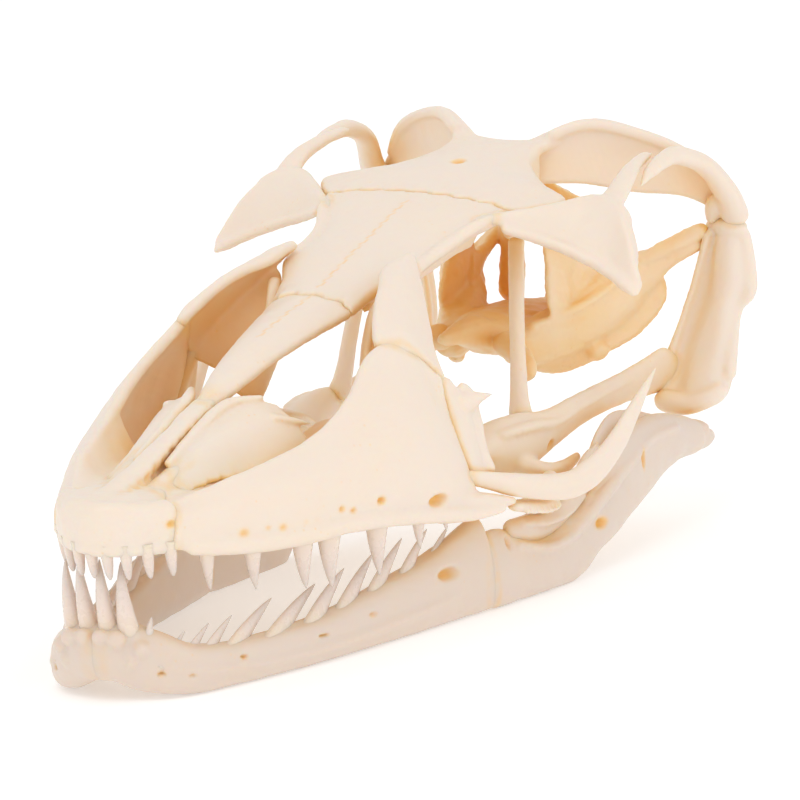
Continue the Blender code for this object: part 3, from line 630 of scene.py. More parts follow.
class NodeBench:
    """Short calls for placing and joining shader nodes in one tree."""

    def __init__(self, tree: bpy.types.NodeTree) -> None:
        """Work on the given tree."""
        self.tree = tree

    def node(self, kind: str, **values: object) -> bpy.types.Node:
        """Add a node and set its properties."""
        made = self.tree.nodes.new(kind)
        for key, value in values.items():
            setattr(made, key, value)
        return made

    def attribute(self, name: str) -> bpy.types.NodeSocket:
        """The number that each point of the mesh keeps under a name."""
        return self.node("ShaderNodeAttribute", attribute_name=name).outputs["Fac"]

    def join(self, source: bpy.types.NodeSocket, target: bpy.types.NodeSocket) -> None:
        """Link one socket to another."""
        self.tree.links.new(source, target)

    def math(self, operation: str, a: object, b: object = 0.0, clamp: bool = False) -> bpy.types.NodeSocket:
        """A math node on two sockets or numbers."""
        made = self.node("ShaderNodeMath", operation=operation, use_clamp=clamp)
        for socket, value in zip(made.inputs, (a, b)):
            if isinstance(value, (int, float)):
                socket.default_value = value
            else:
                self.join(value, socket)
        return made.outputs[0]

    def times(self, a: object, b: object, clamp: bool = False) -> bpy.types.NodeSocket:
        """The product of two sockets or numbers."""
        return self.math("MULTIPLY", a, b, clamp)

    def mix(self, share: object, a: object, b: object, blend: str = "MIX") -> bpy.types.NodeSocket:
        """A colour mix of two sockets or colours."""
        made = self.node("ShaderNodeMix", data_type="RGBA", blend_type=blend)
        for socket, value in ((made.inputs[0], share), (made.inputs[6], a), (made.inputs[7], b)):
            if isinstance(value, bpy.types.NodeSocket):
                self.join(value, socket)
            else:
                socket.default_value = value
        return made.outputs[2]

    def noise(self, vector: bpy.types.NodeSocket, scale: float, detail: float = 4.0,
              rough: float = 0.55) -> bpy.types.NodeSocket:
        """A noise value on the given coordinates."""
        made = self.node("ShaderNodeTexNoise")
        made.inputs["Scale"].default_value = scale
        made.inputs["Detail"].default_value = detail
        made.inputs["Roughness"].default_value = rough
        self.join(vector, made.inputs["Vector"])
        return made.outputs["Fac"]

    def ramp(self, value: bpy.types.NodeSocket, low: float, high: float) -> bpy.types.NodeSocket:
        """Stretch a value so that low becomes 0 and high becomes 1."""
        made = self.node("ShaderNodeMapRange", clamp=True)
        made.inputs["From Min"].default_value = low
        made.inputs["From Max"].default_value = high
        self.join(value, made.inputs["Value"])
        return made.outputs["Result"]

    def bump(self, height: bpy.types.NodeSocket, strength: float, distance: float,
             shader: bpy.types.Node) -> None:
        """Let a height shape the light on a shader's surface, over a distance in metres."""
        made = self.node("ShaderNodeBump")
        made.inputs["Strength"].default_value = strength
        made.inputs["Distance"].default_value = distance
        self.join(height, made.inputs["Height"])
        self.join(made.outputs["Normal"], shader.inputs["Normal"])


def bone_group() -> bpy.types.ShaderNodeTree:
    """The bone's pattern: painted shade from the deep attribute, seam and foramen colour and mottling, and
    its fine relief.

    Returns:
        A group from four colours to Colour, Roughness and Height.
    """
    kinds = [(n, "NodeSocketColor") for n in ("Pale", "Warm", "Shade Amber", "Seam")]
    kinds += [("Rough", "NodeSocketFloat"), ("Shade Gain", "NodeSocketFloat")]
    group = new_group("bone_pattern", kinds, [("Colour", "NodeSocketColor"),
                                              ("Roughness", "NodeSocketFloat"),
                                              ("Height", "NodeSocketFloat")])
    bench = NodeBench(group)
    given = group.nodes["in"].outputs
    spot = bench.node("ShaderNodeTexCoord").outputs["Object"]
    # deep is the share of the sky that other bone hides, painted into the colour as shade below; seam and
    # pit colour the joints and foramina.
    deep, seam, pit = (bench.attribute(name) for name in ("deep", "seam", "pit"))
    clouds = bench.noise(spot, 90.0, 3.0)
    mottle = bench.noise(spot, 420.0, 5.0, 0.6)
    grain = bench.noise(spot, 2600.0, 4.0, 0.6)
    pores = bench.node("ShaderNodeTexVoronoi", feature="F1")
    pores.inputs["Scale"].default_value = 900.0
    bench.join(spot, pores.inputs["Vector"])
    dots = bench.ramp(pores.outputs["Distance"], 0.22, 0.05)
    cluster = bench.ramp(clouds, 0.52, 0.66)
    dots = bench.times(dots, cluster)
    # Painted shade: the more sky other bone hides, the warmer the colour, and the most hidden places turn
    # the painted shade colour; patch adds the bone's own warm patches.
    depth = bench.times(deep, given["Shade Gain"], True)
    patch = bench.times(bench.ramp(clouds, 0.44, 0.74), 0.22)
    shade_and_patch_share = bench.math("ADD", bench.ramp(depth, 0.10, 0.52), patch, True)
    colour = bench.mix(shade_and_patch_share, given["Pale"], given["Warm"])
    colour = bench.mix(bench.times(bench.ramp(depth, 0.46, 0.92), 0.92), colour, given["Shade Amber"])
    flecks = bench.times(bench.ramp(mottle, 0.55, 0.75), 0.16)
    colour = bench.mix(flecks, colour, given["Warm"])
    broken = bench.times(seam, bench.ramp(mottle, 0.30, 0.62))
    line = bench.math("MAXIMUM", bench.times(broken, 0.55), bench.times(pit, 0.95))
    colour = bench.mix(line, colour, given["Seam"])
    colour = bench.mix(bench.times(dots, 0.35), colour, given["Seam"])
    rough = bench.math("ADD", given["Rough"], bench.times(bench.math("SUBTRACT", mottle, 0.5), 0.25))
    height = bench.math("ADD", bench.times(mottle, 0.5), bench.times(grain, 0.22))
    height = bench.math("SUBTRACT", height, bench.times(dots, 0.5))
    out = group.nodes["out"].inputs
    bench.join(colour, out["Colour"])
    bench.join(rough, out["Roughness"])
    bench.join(height, out["Height"])
    return group


class Palette:
    """Builds each finish once and hands its material out."""

    def __init__(self) -> None:
        """Make the shared group."""
        self.pattern = bone_group()
        self.made: Dict[str, bpy.types.Material] = {}

    def begin(self, name: str) -> Tuple[NodeBench, bpy.types.Node]:
        """Start a material, and return a bench on its nodes and its main shader."""
        made = bpy.data.materials.new(name)
        made.use_nodes = True
        self.made[name] = made
        return NodeBench(made.node_tree), made.node_tree.nodes["Principled BSDF"]

    def bone(self, finish: BoneFinish) -> bpy.types.Material:
        """The material of a bone finish.

        Args:
            finish: its colours and gloss.

        Returns:
            The material, made on the first call.
        """
        if finish.name in self.made:
            return self.made[finish.name]
        bench, shader = self.begin(finish.name)
        pattern = bench.node("ShaderNodeGroup", node_tree=self.pattern)
        for label, value in (("Pale", finish.pale), ("Warm", finish.warm), ("Shade Amber", finish.shade_amber),
                             ("Seam", finish.seam), ("Rough", finish.roughness),
                             ("Shade Gain", finish.shade_gain)):
            pattern.inputs[label].default_value = value
        bench.join(pattern.outputs["Colour"], shader.inputs["Base Color"])
        bench.join(pattern.outputs["Roughness"], shader.inputs["Roughness"])
        bench.bump(pattern.outputs["Height"], 0.28, 0.00012, shader)
        self.soften(shader, (1.0, 0.52, 0.22), 0.0016, 0.35)
        self.coat(shader, finish.gloss, 0.35)
        return self.made[finish.name]

    def tooth(self, finish: ToothFinish) -> bpy.types.Material:
        """The material of the teeth.

        Args:
            finish: its colours.

        Returns:
            The material, made on the first call.
        """
        if finish.name in self.made:
            return self.made[finish.name]
        bench, shader = self.begin(finish.name)
        rise = bench.attribute("rise")
        spot = bench.node("ShaderNodeTexCoord").outputs["Object"]
        streak = bench.noise(spot, 700.0, 3.0)
        shift = bench.times(bench.math("SUBTRACT", streak, 0.5), 0.35)
        uneven = bench.math("ADD", rise, shift, True)
        colour = bench.mix(bench.ramp(uneven, 0.0, 0.45), finish.root, finish.crown)
        colour = bench.mix(bench.ramp(uneven, 0.45, 1.0), colour, finish.tip)
        bench.join(colour, shader.inputs["Base Color"])
        gloss = bench.math("ADD", bench.times(streak, 0.16), finish.roughness - 0.08)
        bench.join(gloss, shader.inputs["Roughness"])
        bench.bump(streak, 0.05, 0.0001, shader)
        self.soften(shader, (1.0, 0.7, 0.45), 0.0012, 0.4)
        self.coat(shader, 0.35, 0.18)
        return self.made[finish.name]

    @staticmethod
    def soften(shader: bpy.types.Node, radius: Tuple[float, float, float], scale: float,
               weight: float) -> None:
        """Let light into the surface a little way."""
        shader.inputs["Subsurface Weight"].default_value = weight
        shader.inputs["Subsurface Radius"].default_value = radius
        shader.inputs["Subsurface Scale"].default_value = scale

    @staticmethod
    def coat(shader: bpy.types.Node, weight: float, roughness: float) -> None:
        """Lay a thin clear gloss over the surface."""
        shader.inputs["Coat Weight"].default_value = weight
        shader.inputs["Coat Roughness"].default_value = roughness


# Bones

@dataclass
class Bone:
    """One bone as it is drawn: its name, its shells, and what is pressed into it or tinted on it."""

    name: str
    shells: List[Shell]
    finish: BoneFinish
    part: Part = Part.CRANIUM
    paired: bool = True
    pits: List[Pit] = field(default_factory=list)
    folds: List[Fold] = field(default_factory=list)
    grain: float = GRAIN_SIZE
    smoothing: int = 4
    relief: float = 0.05
    seam_reach: float = 1.0


@dataclass
class SnoutTip:
    """The premaxilla: a toothed arch with a long nasal process running back over the nostrils."""

    arch_width: float = 9.4
    arch_depth: float = 7.4
    front: float = 0.7

    def arc(self, x: float) -> float:
        """Front edge of the upper jaw at the tooth line."""
        return self.front + self.arch_depth * (abs(x) / self.arch_width) ** 2.2

    def premaxilla(self) -> Bone:
        """The bone itself."""
        span = np.linspace(-1, 1, 13) * 0.985 * self.arch_width
        gum = [(x * 0.87, self.arc(x) + 1.6, 23.0 + 0.04 * (9 - abs(x)), 1.75, 3.4) for x in span]
        arch = tube(gum, power=2.4, blunt=0.5, around=36)
        lip = tube([(x * 0.91, self.arc(x) + 1.2, 20.7, 1.15, 1.2) for x in span], blunt=0.6)
        top = tube([(0, 1.8, 23.6, 4.6, 1.7), (0, 4.4, 24.6, 6.8, 2.4), (0, 8.0, 25.1, 6.8, 2.0),
                    (0, 11.5, 25.5, 5.4, 1.5), (0, 15.5, 26.0, 3.0, 1.1), (0, 19.0, 27.0, 1.8, 0.8)],
                   power=2.0, around=36, steps=70)
        process = tube([(0, 3.6, 25.0, 1.6, 1.3), (0, 7.0, 26.3, 1.75, 1.3), (0, 11.0, 27.3, 1.75, 1.25),
                        (0, 16.0, 28.9, 1.7, 1.2), (0, 24.0, 31.7, 1.75, 1.15), (0, 27.0, 32.8, 1.8, 1.1),
                        (0, 30.0, 33.7, 1.6, 0.9), (0, 33.0, 34.5, 1.2, 0.7), (0, 38.0, 35.8, 0.4, 0.4)],
                       power=2.2, steps=80)
        keel = tube([(0, 9.0, 25.4, 1.1, 1.6), (0, 16.0, 27.0, 0.9, 1.6), (0, 26.0, 31.2, 0.7, 1.3),
                     (0, 34.0, 35.0, 0.4, 0.8)])
        palate = tube([(0, 3.6, 21.6, 5.2, 1.0), (0, 8.0, 22.0, 4.6, 0.9), (0, 11.8, 22.6, 2.0, 0.7)])
        pits = [Pit((8.9, 7.0, 23.6), (0.5, 0.7, 0.4), 0.5), Pit((2.6, 3.0, 25.6), (0.35, 0.4, 0.4), 0.4),
                Pit((-4.8, 3.6, 24.4), (0.35, 0.5, 0.35), 0.4)]
        folds = [Fold(((1.9, 5.6, 25.6), (1.9, 12.0, 26.4), (1.9, 20.0, 29.4), (1.9, 27.0, 32.0)), 0.45,
                      0.24),
                 Fold(((-1.9, 5.6, 25.6), (-1.9, 12.0, 26.4), (-1.9, 20.0, 29.4)), 0.4, 0.16)]
        return Bone("premaxilla", [arch, lip, top, process, keel, palate], CRANIUM, paired=False, pits=pits,
                    folds=folds, smoothing=7, relief=0.12)


@dataclass
class UpperJaw:
    """Maxilla, lacrimal, jugal, ectopterygoid and septomaxilla of one side."""

    wall: float = 1.7

    def maxilla(self) -> Bone:
        """The tall triangular face bone, its toothed rim and the floor it lends to the nostril."""
        face = sheet([
            [(8.6, 6.9, 19.9), (9.3, 7.2, 21.8), (9.0, 7.6, 24.2), (6.6, 8.6, 25.6)],
            [(13.9, 17.0, 18.0), (14.7, 17.2, 21.5), (14.1, 17.0, 25.0), (11.3, 16.2, 28.0)],
            [(17.3, 24.0, 17.9), (18.3, 24.2, 21.5), (17.5, 24.2, 26.0), (13.9, 24.2, 29.5)],
            [(20.0, 31.0, 18.3), (21.0, 31.2, 22.0), (20.1, 31.2, 27.0), (15.9, 31.2, 31.4)],
            [(22.8, 39.5, 17.4), (23.7, 39.6, 22.0), (22.1, 39.2, 29.0), (16.9, 38.0, 34.9)],
            [(24.8, 46.0, 16.4), (25.1, 46.2, 23.0), (22.5, 45.6, 31.4), (15.9, 45.3, 39.2)],
            [(26.4, 52.0, 15.4), (25.5, 52.0, 23.0), (22.3, 51.6, 31.6), (17.3, 51.2, 39.9)],
            [(27.5, 57.4, 15.6), (24.8, 57.0, 22.4), (22.4, 56.8, 28.4), (21.3, 55.9, 34.4)],
        ], self.wall, (1, -0.6, 0.4), edge=0.6, ends=(0.2, 0.3), size=(96, 48))
        shelf = sheet([
            [(7.6, 8.2, 25.5), (5.2, 8.6, 25.5), (2.0, 8.6, 25.8)],
            [(9.8, 13.0, 27.0), (6.4, 13.2, 25.9), (1.8, 13.0, 26.8)],
            [(11.5, 16.8, 27.9), (7.4, 17.2, 25.7), (1.9, 16.6, 27.8)],
            [(13.2, 22.0, 28.9), (8.8, 22.4, 25.6), (2.6, 21.6, 28.4)],
            [(14.8, 27.2, 30.0), (10.6, 27.4, 25.4), (4.4, 27.0, 27.0)],
            [(16.2, 32.4, 31.8), (12.6, 32.6, 25.4), (8.2, 32.2, 25.0)],
        ], 1.3, (0, 0, 1), edge=0.4, ends=(0.3, 0.8), size=(80, 44))
        gusset = tube([(2.9, 8.6, 25.3, 1.0, 0.7), (2.9, 13.0, 26.3, 1.4, 0.9), (3.1, 17.4, 27.6, 1.4, 0.9),
                       (3.6, 22.0, 28.6, 1.0, 0.7)])
        rim = tube([(7.4, 9.8, 20.9, 1.7, 1.5), (12.3, 18.0, 20.0, 2.4, 1.7), (15.5, 25.0, 20.0, 2.6, 1.7),
                    (18.0, 32.0, 20.2, 2.6, 1.7), (20.7, 40.5, 19.3, 2.6, 1.7),
                    (22.7, 47.5, 18.3, 2.4, 1.7), (24.6, 53.5, 17.4, 2.2, 1.7),
                    (27.0, 58.0, 17.0, 1.5, 1.4), (29.4, 62.6, 16.6, 0.3, 0.4)],
                   power=2.4, steps=80)
        lip = tube([(9.6, 9.0, 20.2, 0.9, 1.2), (14.4, 17.6, 19.3, 1.2, 1.3), (17.9, 25.0, 19.2, 1.3, 1.3),
                    (20.6, 32.0, 19.4, 1.3, 1.3), (23.3, 41.0, 18.5, 1.3, 1.2),
                    (25.3, 48.0, 17.4, 1.2, 1.1),
                    (27.0, 54.0, 16.4, 1.2, 1.0), (29.0, 60.0, 16.2, 0.6, 0.7)], steps=80)
        pits = [Pit((13.6, 16.4, 21.0), (0.5, 0.75, 0.5), 0.8), Pit((15.4, 19.4, 21.2), (0.3, 0.4, 0.3)),
                Pit((16.4, 21.4, 20.9), (0.4, 0.55, 0.45)), Pit((17.8, 24.6, 21.1), (0.35, 0.45, 0.35)),
                Pit((18.4, 26.2, 21.1), (0.35, 0.45, 0.35)), Pit((20.2, 29.9, 21.8), (0.35, 0.45, 0.35)),
                Pit((20.8, 31.8, 21.3), (0.35, 0.45, 0.35)), Pit((22.6, 36.4, 21.7), (0.4, 0.6, 0.4)),
                Pit((25.4, 47.4, 19.6), (1.0, 1.8, 0.65), 1.3, 1.0),
                Pit((10.4, 15.4, 25.0), (0.3, 0.4, 0.4), 0.4)]
        return Bone("maxilla", [face, shelf, gusset, rim, lip], CRANIUM, pits=pits, smoothing=6)

    def lacrimal(self) -> Bone:
        """The small bone at the front of the orbit, with its pointed spur."""
        plate = sheet([
            [(20.4, 56.6, 34.4), (20.8, 57.8, 34.2), (21.1, 59.0, 33.6)],
            [(22.0, 56.2, 31.0), (22.5, 58.4, 31.0), (22.6, 60.6, 30.6)],
            [(23.0, 56.2, 28.0), (23.7, 58.8, 28.0), (23.5, 61.6, 27.4)],
            [(24.2, 56.4, 24.6), (24.8, 58.8, 24.4), (24.5, 61.0, 23.8)],
            [(25.6, 57.0, 20.0), (26.4, 58.6, 20.2), (26.4, 60.2, 20.0)],
        ], 2.6, (1, 0, 0.2), edge=0.9, ends=(0.4, 0.8))
        spur = tube([(21.6, 58.0, 29.6, 1.9, 2.2), (22.8, 60.2, 30.1, 1.3, 1.5),
                     (23.9, 62.0, 30.6, 0.7, 0.8), (25.0, 63.9, 30.8, 0.12, 0.15)])
        ledge = tube([(21.6, 60.0, 32.6, 0.6, 0.6), (22.4, 61.0, 31.2, 0.8, 1.0),
                      (23.2, 61.6, 28.0, 0.8, 1.3),
                      (24.4, 61.2, 23.6, 0.9, 1.2), (26.6, 60.6, 20.4, 0.8, 0.8)], up=(0, 1, 0))
        return Bone("lacrimal", [plate, spur, ledge], CRANIUM, grain=0.28, smoothing=12)

    def jugal(self) -> Bone:
        """The thin curved cheek bar that sweeps back and up to a point."""
        blade = tube([(24.6, 55.6, 21.0, 0.5, 0.9), (27.2, 60.0, 19.6, 1.0, 1.4),
                      (29.4, 64.0, 18.4, 1.3, 1.7), (32.0, 70.8, 17.0, 1.4, 1.9),
                      (33.5, 74.8, 17.5, 1.3, 2.2), (34.5, 79.0, 19.2, 1.1, 2.2),
                      (35.2, 83.0, 22.0, 0.95, 1.9), (35.7, 86.7, 25.3, 0.75, 1.35),
                      (36.0, 93.4, 30.3, 0.12, 0.12)],
                     up=(0, -0.3, 1), power=2.2, steps=90)
        ridge = tube([(28.8, 63.0, 19.6, 0.6, 0.6), (32.4, 71.4, 18.4, 0.9, 0.6),
                      (34.4, 77.0, 19.8, 0.8, 0.6), (35.4, 82.0, 23.0, 0.4, 0.4)], up=(0, -0.3, 1))
        return Bone("jugal", [blade, ridge], CRANIUM, grain=0.26, smoothing=6)

    def ectopterygoid(self) -> Bone:
        """The strut from the cheek to the pterygoid, with a ragged outer lip."""
        strut = tube([(28.2, 63.0, 15.6, 0.9, 0.7), (28.6, 67.0, 14.8, 1.7, 1.0),
                      (28.4, 71.0, 14.2, 2.1, 1.2), (27.0, 76.0, 13.6, 2.1, 1.3),
                      (24.6, 82.0, 13.2, 1.8, 1.4), (22.4, 87.0, 13.6, 1.3, 1.6)])
        lip = sheet([[(29.4, 64.5, 15.4), (30.2, 64.6, 14.6)], [(29.8, 68.0, 14.9), (31.0, 68.6, 13.9)],
                     [(29.6, 72.0, 14.4), (30.8, 72.6, 13.4)], [(28.6, 76.0, 13.8), (29.4, 77.0, 13.0)]],
                    0.8, (0.3, 0, 1), edge=0.3)
        lip.points[:, 0] += 0.25 * np.sin(lip.points[:, 1] * 4.1)
        return Bone("ectopterygoid", [strut, lip], CRANIUM, grain=0.28, smoothing=5)

    def septomaxilla(self) -> Bone:
        """The thin domed shell on the floor of the nostril, ragged along its outer edge."""
        rows = [[(2.4, 13.6, 26.6), (4.2, 14.0, 26.7), (6.4, 14.6, 25.8)],
                [(2.2, 20.0, 29.8), (4.8, 20.2, 29.6), (7.6, 19.8, 26.4)],
                [(2.2, 25.0, 31.8), (5.8, 24.8, 30.9), (9.0, 23.9, 26.0)],
                [(2.8, 29.6, 33.4), (7.0, 28.9, 31.6), (10.8, 27.4, 25.8)],
                [(4.4, 33.4, 34.0), (8.8, 32.9, 31.4), (12.8, 32.4, 26.0)],
                [(6.6, 36.8, 33.0), (10.4, 36.4, 30.4), (13.4, 35.8, 27.0)]]
        shell = sheet(rows, 1.0, (0.3, -0.3, 1), edge=0.4, size=(90, 40))
        ragged = 0.16 * np.sin(shell.points[:, 1] * 2.9) + 0.12 * np.sin(shell.points[:, 1] * 5.3)
        shell.points[:, 0] += ragged * np.clip((27.6 - shell.points[:, 2]) / 1.5, 0, 1)
        spike = tube([(7.6, 33.0, 32.0, 1.2, 0.6), (9.6, 35.4, 31.2, 0.7, 0.5),
                      (11.6, 38.0, 30.4, 0.1, 0.1)])
        roll = tube([(2.4, 16.0, 28.4, 0.6, 0.5), (2.4, 22.0, 31.0, 0.8, 0.6), (3.0, 29.6, 33.8, 0.9, 0.6),
                     (5.6, 35.0, 34.0, 0.5, 0.4)])
        return Bone("septomaxilla", [shell, spike, roll], CRANIUM, grain=0.28, smoothing=4)


@dataclass
class SkullRoof:
    """Nasal, frontal, parietal and the arches that hang from them."""

    def nasal(self) -> Bone:
        """The slim roof between the nostrils."""
        rows = []
        for y, w, z in ((27.5, 1.5, 33.9), (31.0, 2.3, 35.6), (36.0, 3.3, 37.8), (42.0, 4.2, 39.8),
                        (48.0, 5.1, 41.4), (53.0, 5.9, 42.5), (57.4, 6.8, 43.5)):
            rows.append(across([(0, y, z), (w * 0.55, y, z - 0.45), (w, y, z - 1.7)]))
        roof = sheet(rows, 1.7, (0, 0, 1), edge=0.6, ends=(1.2, 0.15))
        stagger(roof.points, 57.3, 2.5)
        return Bone("nasal", [roof], CRANIUM, paired=False,
                    smoothing=6, folds=[Fold(((0, 44.0, 40.2), (0, 57.0, 43.3)), 0.15, 0.05)])

    def frontal(self) -> Bone:
        """The flat forehead between the orbits, over the tube of the fore-brain."""
        rows = []
        for y, w, mid, edge in ((57.2, 6.9, 43.5, 41.9), (62.0, 7.9, 45.0, 44.1), (67.0, 10.6, 46.8, 45.8),
                                (71.0, 10.6, 48.1, 46.5), (75.0, 10.6, 49.4, 47.2),
                                (80.0, 11.9, 51.1, 48.9),
                                (84.0, 13.8, 52.3, 50.7), (88.3, 15.2, 53.3, 51.9)):
            rows.append(across([(0, y, mid), (w * 0.6, y, mid * 0.7 + edge * 0.3), (w, y, edge)]))
        roof = sheet(rows, 2.0, (0, 0, 1), edge=1.0, ends=(0.15, 0.15), size=(80, 56))
        stagger(roof.points, 57.3, 2.5)
        stagger(roof.points, 88.4, 3.0)
        flange = sheet([[(7.2, 62.0, 44.0), (6.0, 62.4, 40.2)], [(8.6, 68.0, 46.0), (6.6, 68.4, 41.6)],
                        [(9.2, 76.0, 47.6), (7.4, 76.4, 43.0)], [(10.8, 83.0, 50.0), (8.2, 83.4, 44.8)],
                        [(12.0, 88.0, 51.4), (8.8, 88.4, 45.6)]], 1.5, (1, 0, 0), edge=0.6)
        brow = tube([(10.2, 68.6, 46.0, 0.9, 0.8), (10.0, 74.0, 47.0, 1.0, 0.9),
                     (10.9, 79.0, 48.6, 1.0, 0.9),
                     (12.8, 83.0, 50.4, 0.9, 0.8), (14.2, 87.6, 51.8, 0.5, 0.5)])
        middle = Fold(((0, 60.0, 44.5), (0, 72.0, 48.5), (0, 84.0, 52.3)), 0.16, 0.05)
        return Bone("frontal", [roof] + both(flange) + both(brow), CRANIUM, paired=False, smoothing=6,
                    folds=[middle])

    def parietal(self) -> Bone:
        """The waisted roof plate with a tall wing running back on each side."""
        rows = []
        for y, w, mid, edge in ((88.4, 15.2, 53.4, 51.9), (92.0, 18.6, 54.3, 52.1),
                                (96.0, 20.2, 55.3, 52.8), (100.0, 15.6, 55.9, 53.4),
                                (104.0, 11.6, 56.5, 54.4), (108.0, 8.6, 57.0, 55.8),
                                (112.0, 7.6, 57.2, 57.2), (116.0, 9.0, 57.3, 58.8)):
            rows.append(across([(0, y, mid), (w * 0.6, y, mid * 0.65 + edge * 0.35), (w, y, edge)]))
        roof = sheet(rows, 1.9, (0, 0, 1), edge=0.8, ends=(0.15, 0.8), size=(90, 60))
        stagger(roof.points, 88.4, 3.0)
        wing = sheet([
            [(4.6, 113.6, 57.6), (5.0, 113.2, 54.5), (5.6, 112.8, 51.2)],
            [(12.3, 118.0, 60.6), (11.9, 118.7, 55.7), (12.0, 118.5, 50.8)],
            [(18.0, 121.5, 59.4), (17.7, 123.4, 54.2), (18.0, 124.5, 49.0)],
            [(24.0, 126.5, 56.2), (23.5, 128.2, 52.2), (23.6, 129.0, 48.2)],
            [(28.2, 130.4, 51.4), (27.4, 131.2, 48.8), (27.0, 131.8, 46.2)],
            [(30.2, 131.8, 49.0), (29.6, 132.4, 47.0), (29.0, 132.8, 45.0)],
        ], 1.9, (0, -1, 0.2), edge=0.8, size=(90, 44))
        crest = tube([(7.6, 114.6, 58.2, 0.8, 0.9), (12.4, 118.2, 60.0, 0.9, 0.9),
                      (18.2, 122.0, 58.8, 0.9, 0.9),
                      (24.2, 127.0, 55.6, 0.9, 0.9), (28.4, 131.2, 50.6, 0.7, 0.7)])
        flange = sheet([[(16.4, 97.0, 52.6), (10.0, 97.0, 45.5)], [(12.4, 102.0, 53.8), (9.2, 102.0, 44.5)],
                        [(9.0, 107.0, 55.4), (8.4, 107.0, 45.5)], [(7.6, 112.6, 56.8), (7.8, 112.6, 48.5)]],
                       1.5, (1, -0.4, 0), edge=0.6)
        return Bone("parietal", [roof] + both(wing) + both(flange) + both(crest), CRANIUM, paired=False,
                    smoothing=7,
                    pits=[Pit((0.0, 100.6, 56.2), (0.8, 0.9, 0.9), 0.8, 1.3)])

    def prefrontal(self) -> Bone:
        """The folded plate that walls the front of the orbit."""
        face = sheet([
            [(8.8, 68.6, 48.6), (9.8, 68.8, 48.5), (10.8, 68.2, 47.5)],
            [(8.8, 61.2, 47.4), (10.8, 64.0, 47.7), (12.2, 67.0, 45.8)],
            [(11.4, 56.6, 46.5), (13.2, 60.0, 45.5), (14.4, 64.5, 42.8)],
            [(13.4, 52.2, 44.5), (15.4, 56.4, 42.9), (17.0, 61.3, 39.7)],
            [(15.2, 48.2, 41.3), (17.5, 52.6, 40.7), (19.4, 58.5, 36.5)],
            [(16.4, 47.8, 39.9), (19.8, 54.0, 36.9), (21.3, 57.7, 33.4)],
        ], 1.7, (0.8, -0.5, 0.4), edge=0.8, size=(72, 40))
        strut = tube([(9.6, 63.5, 43.8, 1.1, 1.0), (8.0, 61.0, 41.0, 1.5, 0.9), (7.6, 59.5, 36.0, 1.9, 0.9),
                      (8.6, 57.5, 31.5, 2.2, 0.9), (10.4, 56.5, 27.8, 2.8, 0.9)], up=(1, 0.6, 0))
        wall = sheet([
            [(11.6, 66.4, 45.2), (9.8, 66.0, 43.6), (8.6, 64.5, 42.0)],
            [(13.9, 63.8, 42.0), (11.0, 63.0, 40.2), (8.8, 61.5, 38.8)],
            [(17.6, 59.8, 37.0), (13.4, 60.0, 34.8), (9.4, 58.8, 33.6)],
            [(20.0, 57.8, 32.4), (15.0, 59.4, 30.2), (10.0, 57.8, 29.2)],
        ], 1.1, (0.2, 1, 0), edge=0.5)
        return Bone("prefrontal", [face, strut, wall], CRANIUM)

    def postorbitofrontal(self) -> Bone:
        """The three-cornered plate behind the orbit and its bar to the rear."""
        plate = sheet([
            [(12.0, 81.8, 50.6), (12.2, 83.2, 51.6), (12.8, 84.8, 52.0)],
            [(15.6, 85.8, 49.8), (16.4, 87.2, 51.5), (17.0, 89.2, 52.4)],
            [(19.0, 88.2, 48.3), (19.8, 90.2, 51.3), (20.6, 93.2, 53.2)],
            [(22.4, 89.4, 47.2), (23.6, 92.8, 51.3), (24.6, 96.2, 54.2)],
            [(26.9, 89.6, 45.9), (28.0, 92.6, 50.3), (28.8, 95.2, 53.5)],
            [(30.0, 89.6, 44.5), (30.5, 91.6, 48.7), (30.3, 93.0, 51.5)],
            [(32.9, 88.7, 42.9), (33.1, 90.0, 46.2), (32.5, 91.2, 48.8)],
            [(35.0, 87.8, 41.0), (35.3, 88.4, 42.2), (35.2, 88.9, 43.4)],
        ], 2.2, (0.2, -0.5, 1), edge=0.9, ends=(0.3, 1.0), taper=(0.5, 0.45), size=(84, 40), swell=0.8)
        bar = tube([(26.0, 92.4, 48.6, 1.8, 0.5), (26.7, 94.6, 51.0, 2.1, 0.7),
                    (27.0, 96.8, 52.8, 2.1, 0.9), (27.0, 98.8, 54.0, 1.85, 1.1),
                    (26.8, 101.4, 55.2, 1.5, 1.15), (26.1, 105.6, 56.4, 1.2, 1.0),
                    (25.6, 110.4, 57.1, 0.9, 0.8), (25.6, 113.4, 57.2, 0.25, 0.3)], steps=80)
        rim = tube([(15.0, 85.2, 49.6, 0.8, 0.7), (19.2, 88.4, 48.0, 1.0, 0.9),
                    (24.0, 89.6, 46.4, 1.1, 0.9), (29.4, 89.7, 44.2, 1.0, 0.9),
                    (33.0, 88.7, 42.4, 0.9, 0.9), (34.9, 87.9, 41.2, 0.4, 0.5)])
        return Bone("postorbitofrontal", [plate, bar, rim], CRANIUM, smoothing=14)

    def squamosal(self) -> Bone:
        """The slim arch from the bar down to the quadrate."""
        arch = tube([(28.3, 103.4, 53.9, 0.2, 0.2), (28.0, 107.0, 55.4, 0.9, 0.9),
                     (27.9, 111.5, 56.5, 1.25, 1.25), (28.0, 117.0, 56.7, 1.5, 1.4),
                     (29.2, 124.4, 54.2, 1.7, 1.5), (30.6, 129.0, 49.8, 2.0, 1.8),
                     (31.0, 131.4, 46.6, 2.2, 1.9), (31.0, 132.6, 44.2, 2.1, 1.6)], steps=90)
        hook = tube([(29.0, 129.6, 48.6, 1.3, 1.2), (27.8, 131.4, 46.4, 1.5, 1.3),
                     (27.2, 132.4, 44.0, 1.0, 0.9)])
        return Bone("squamosal", [arch, hook], CRANIUM, smoothing=7)

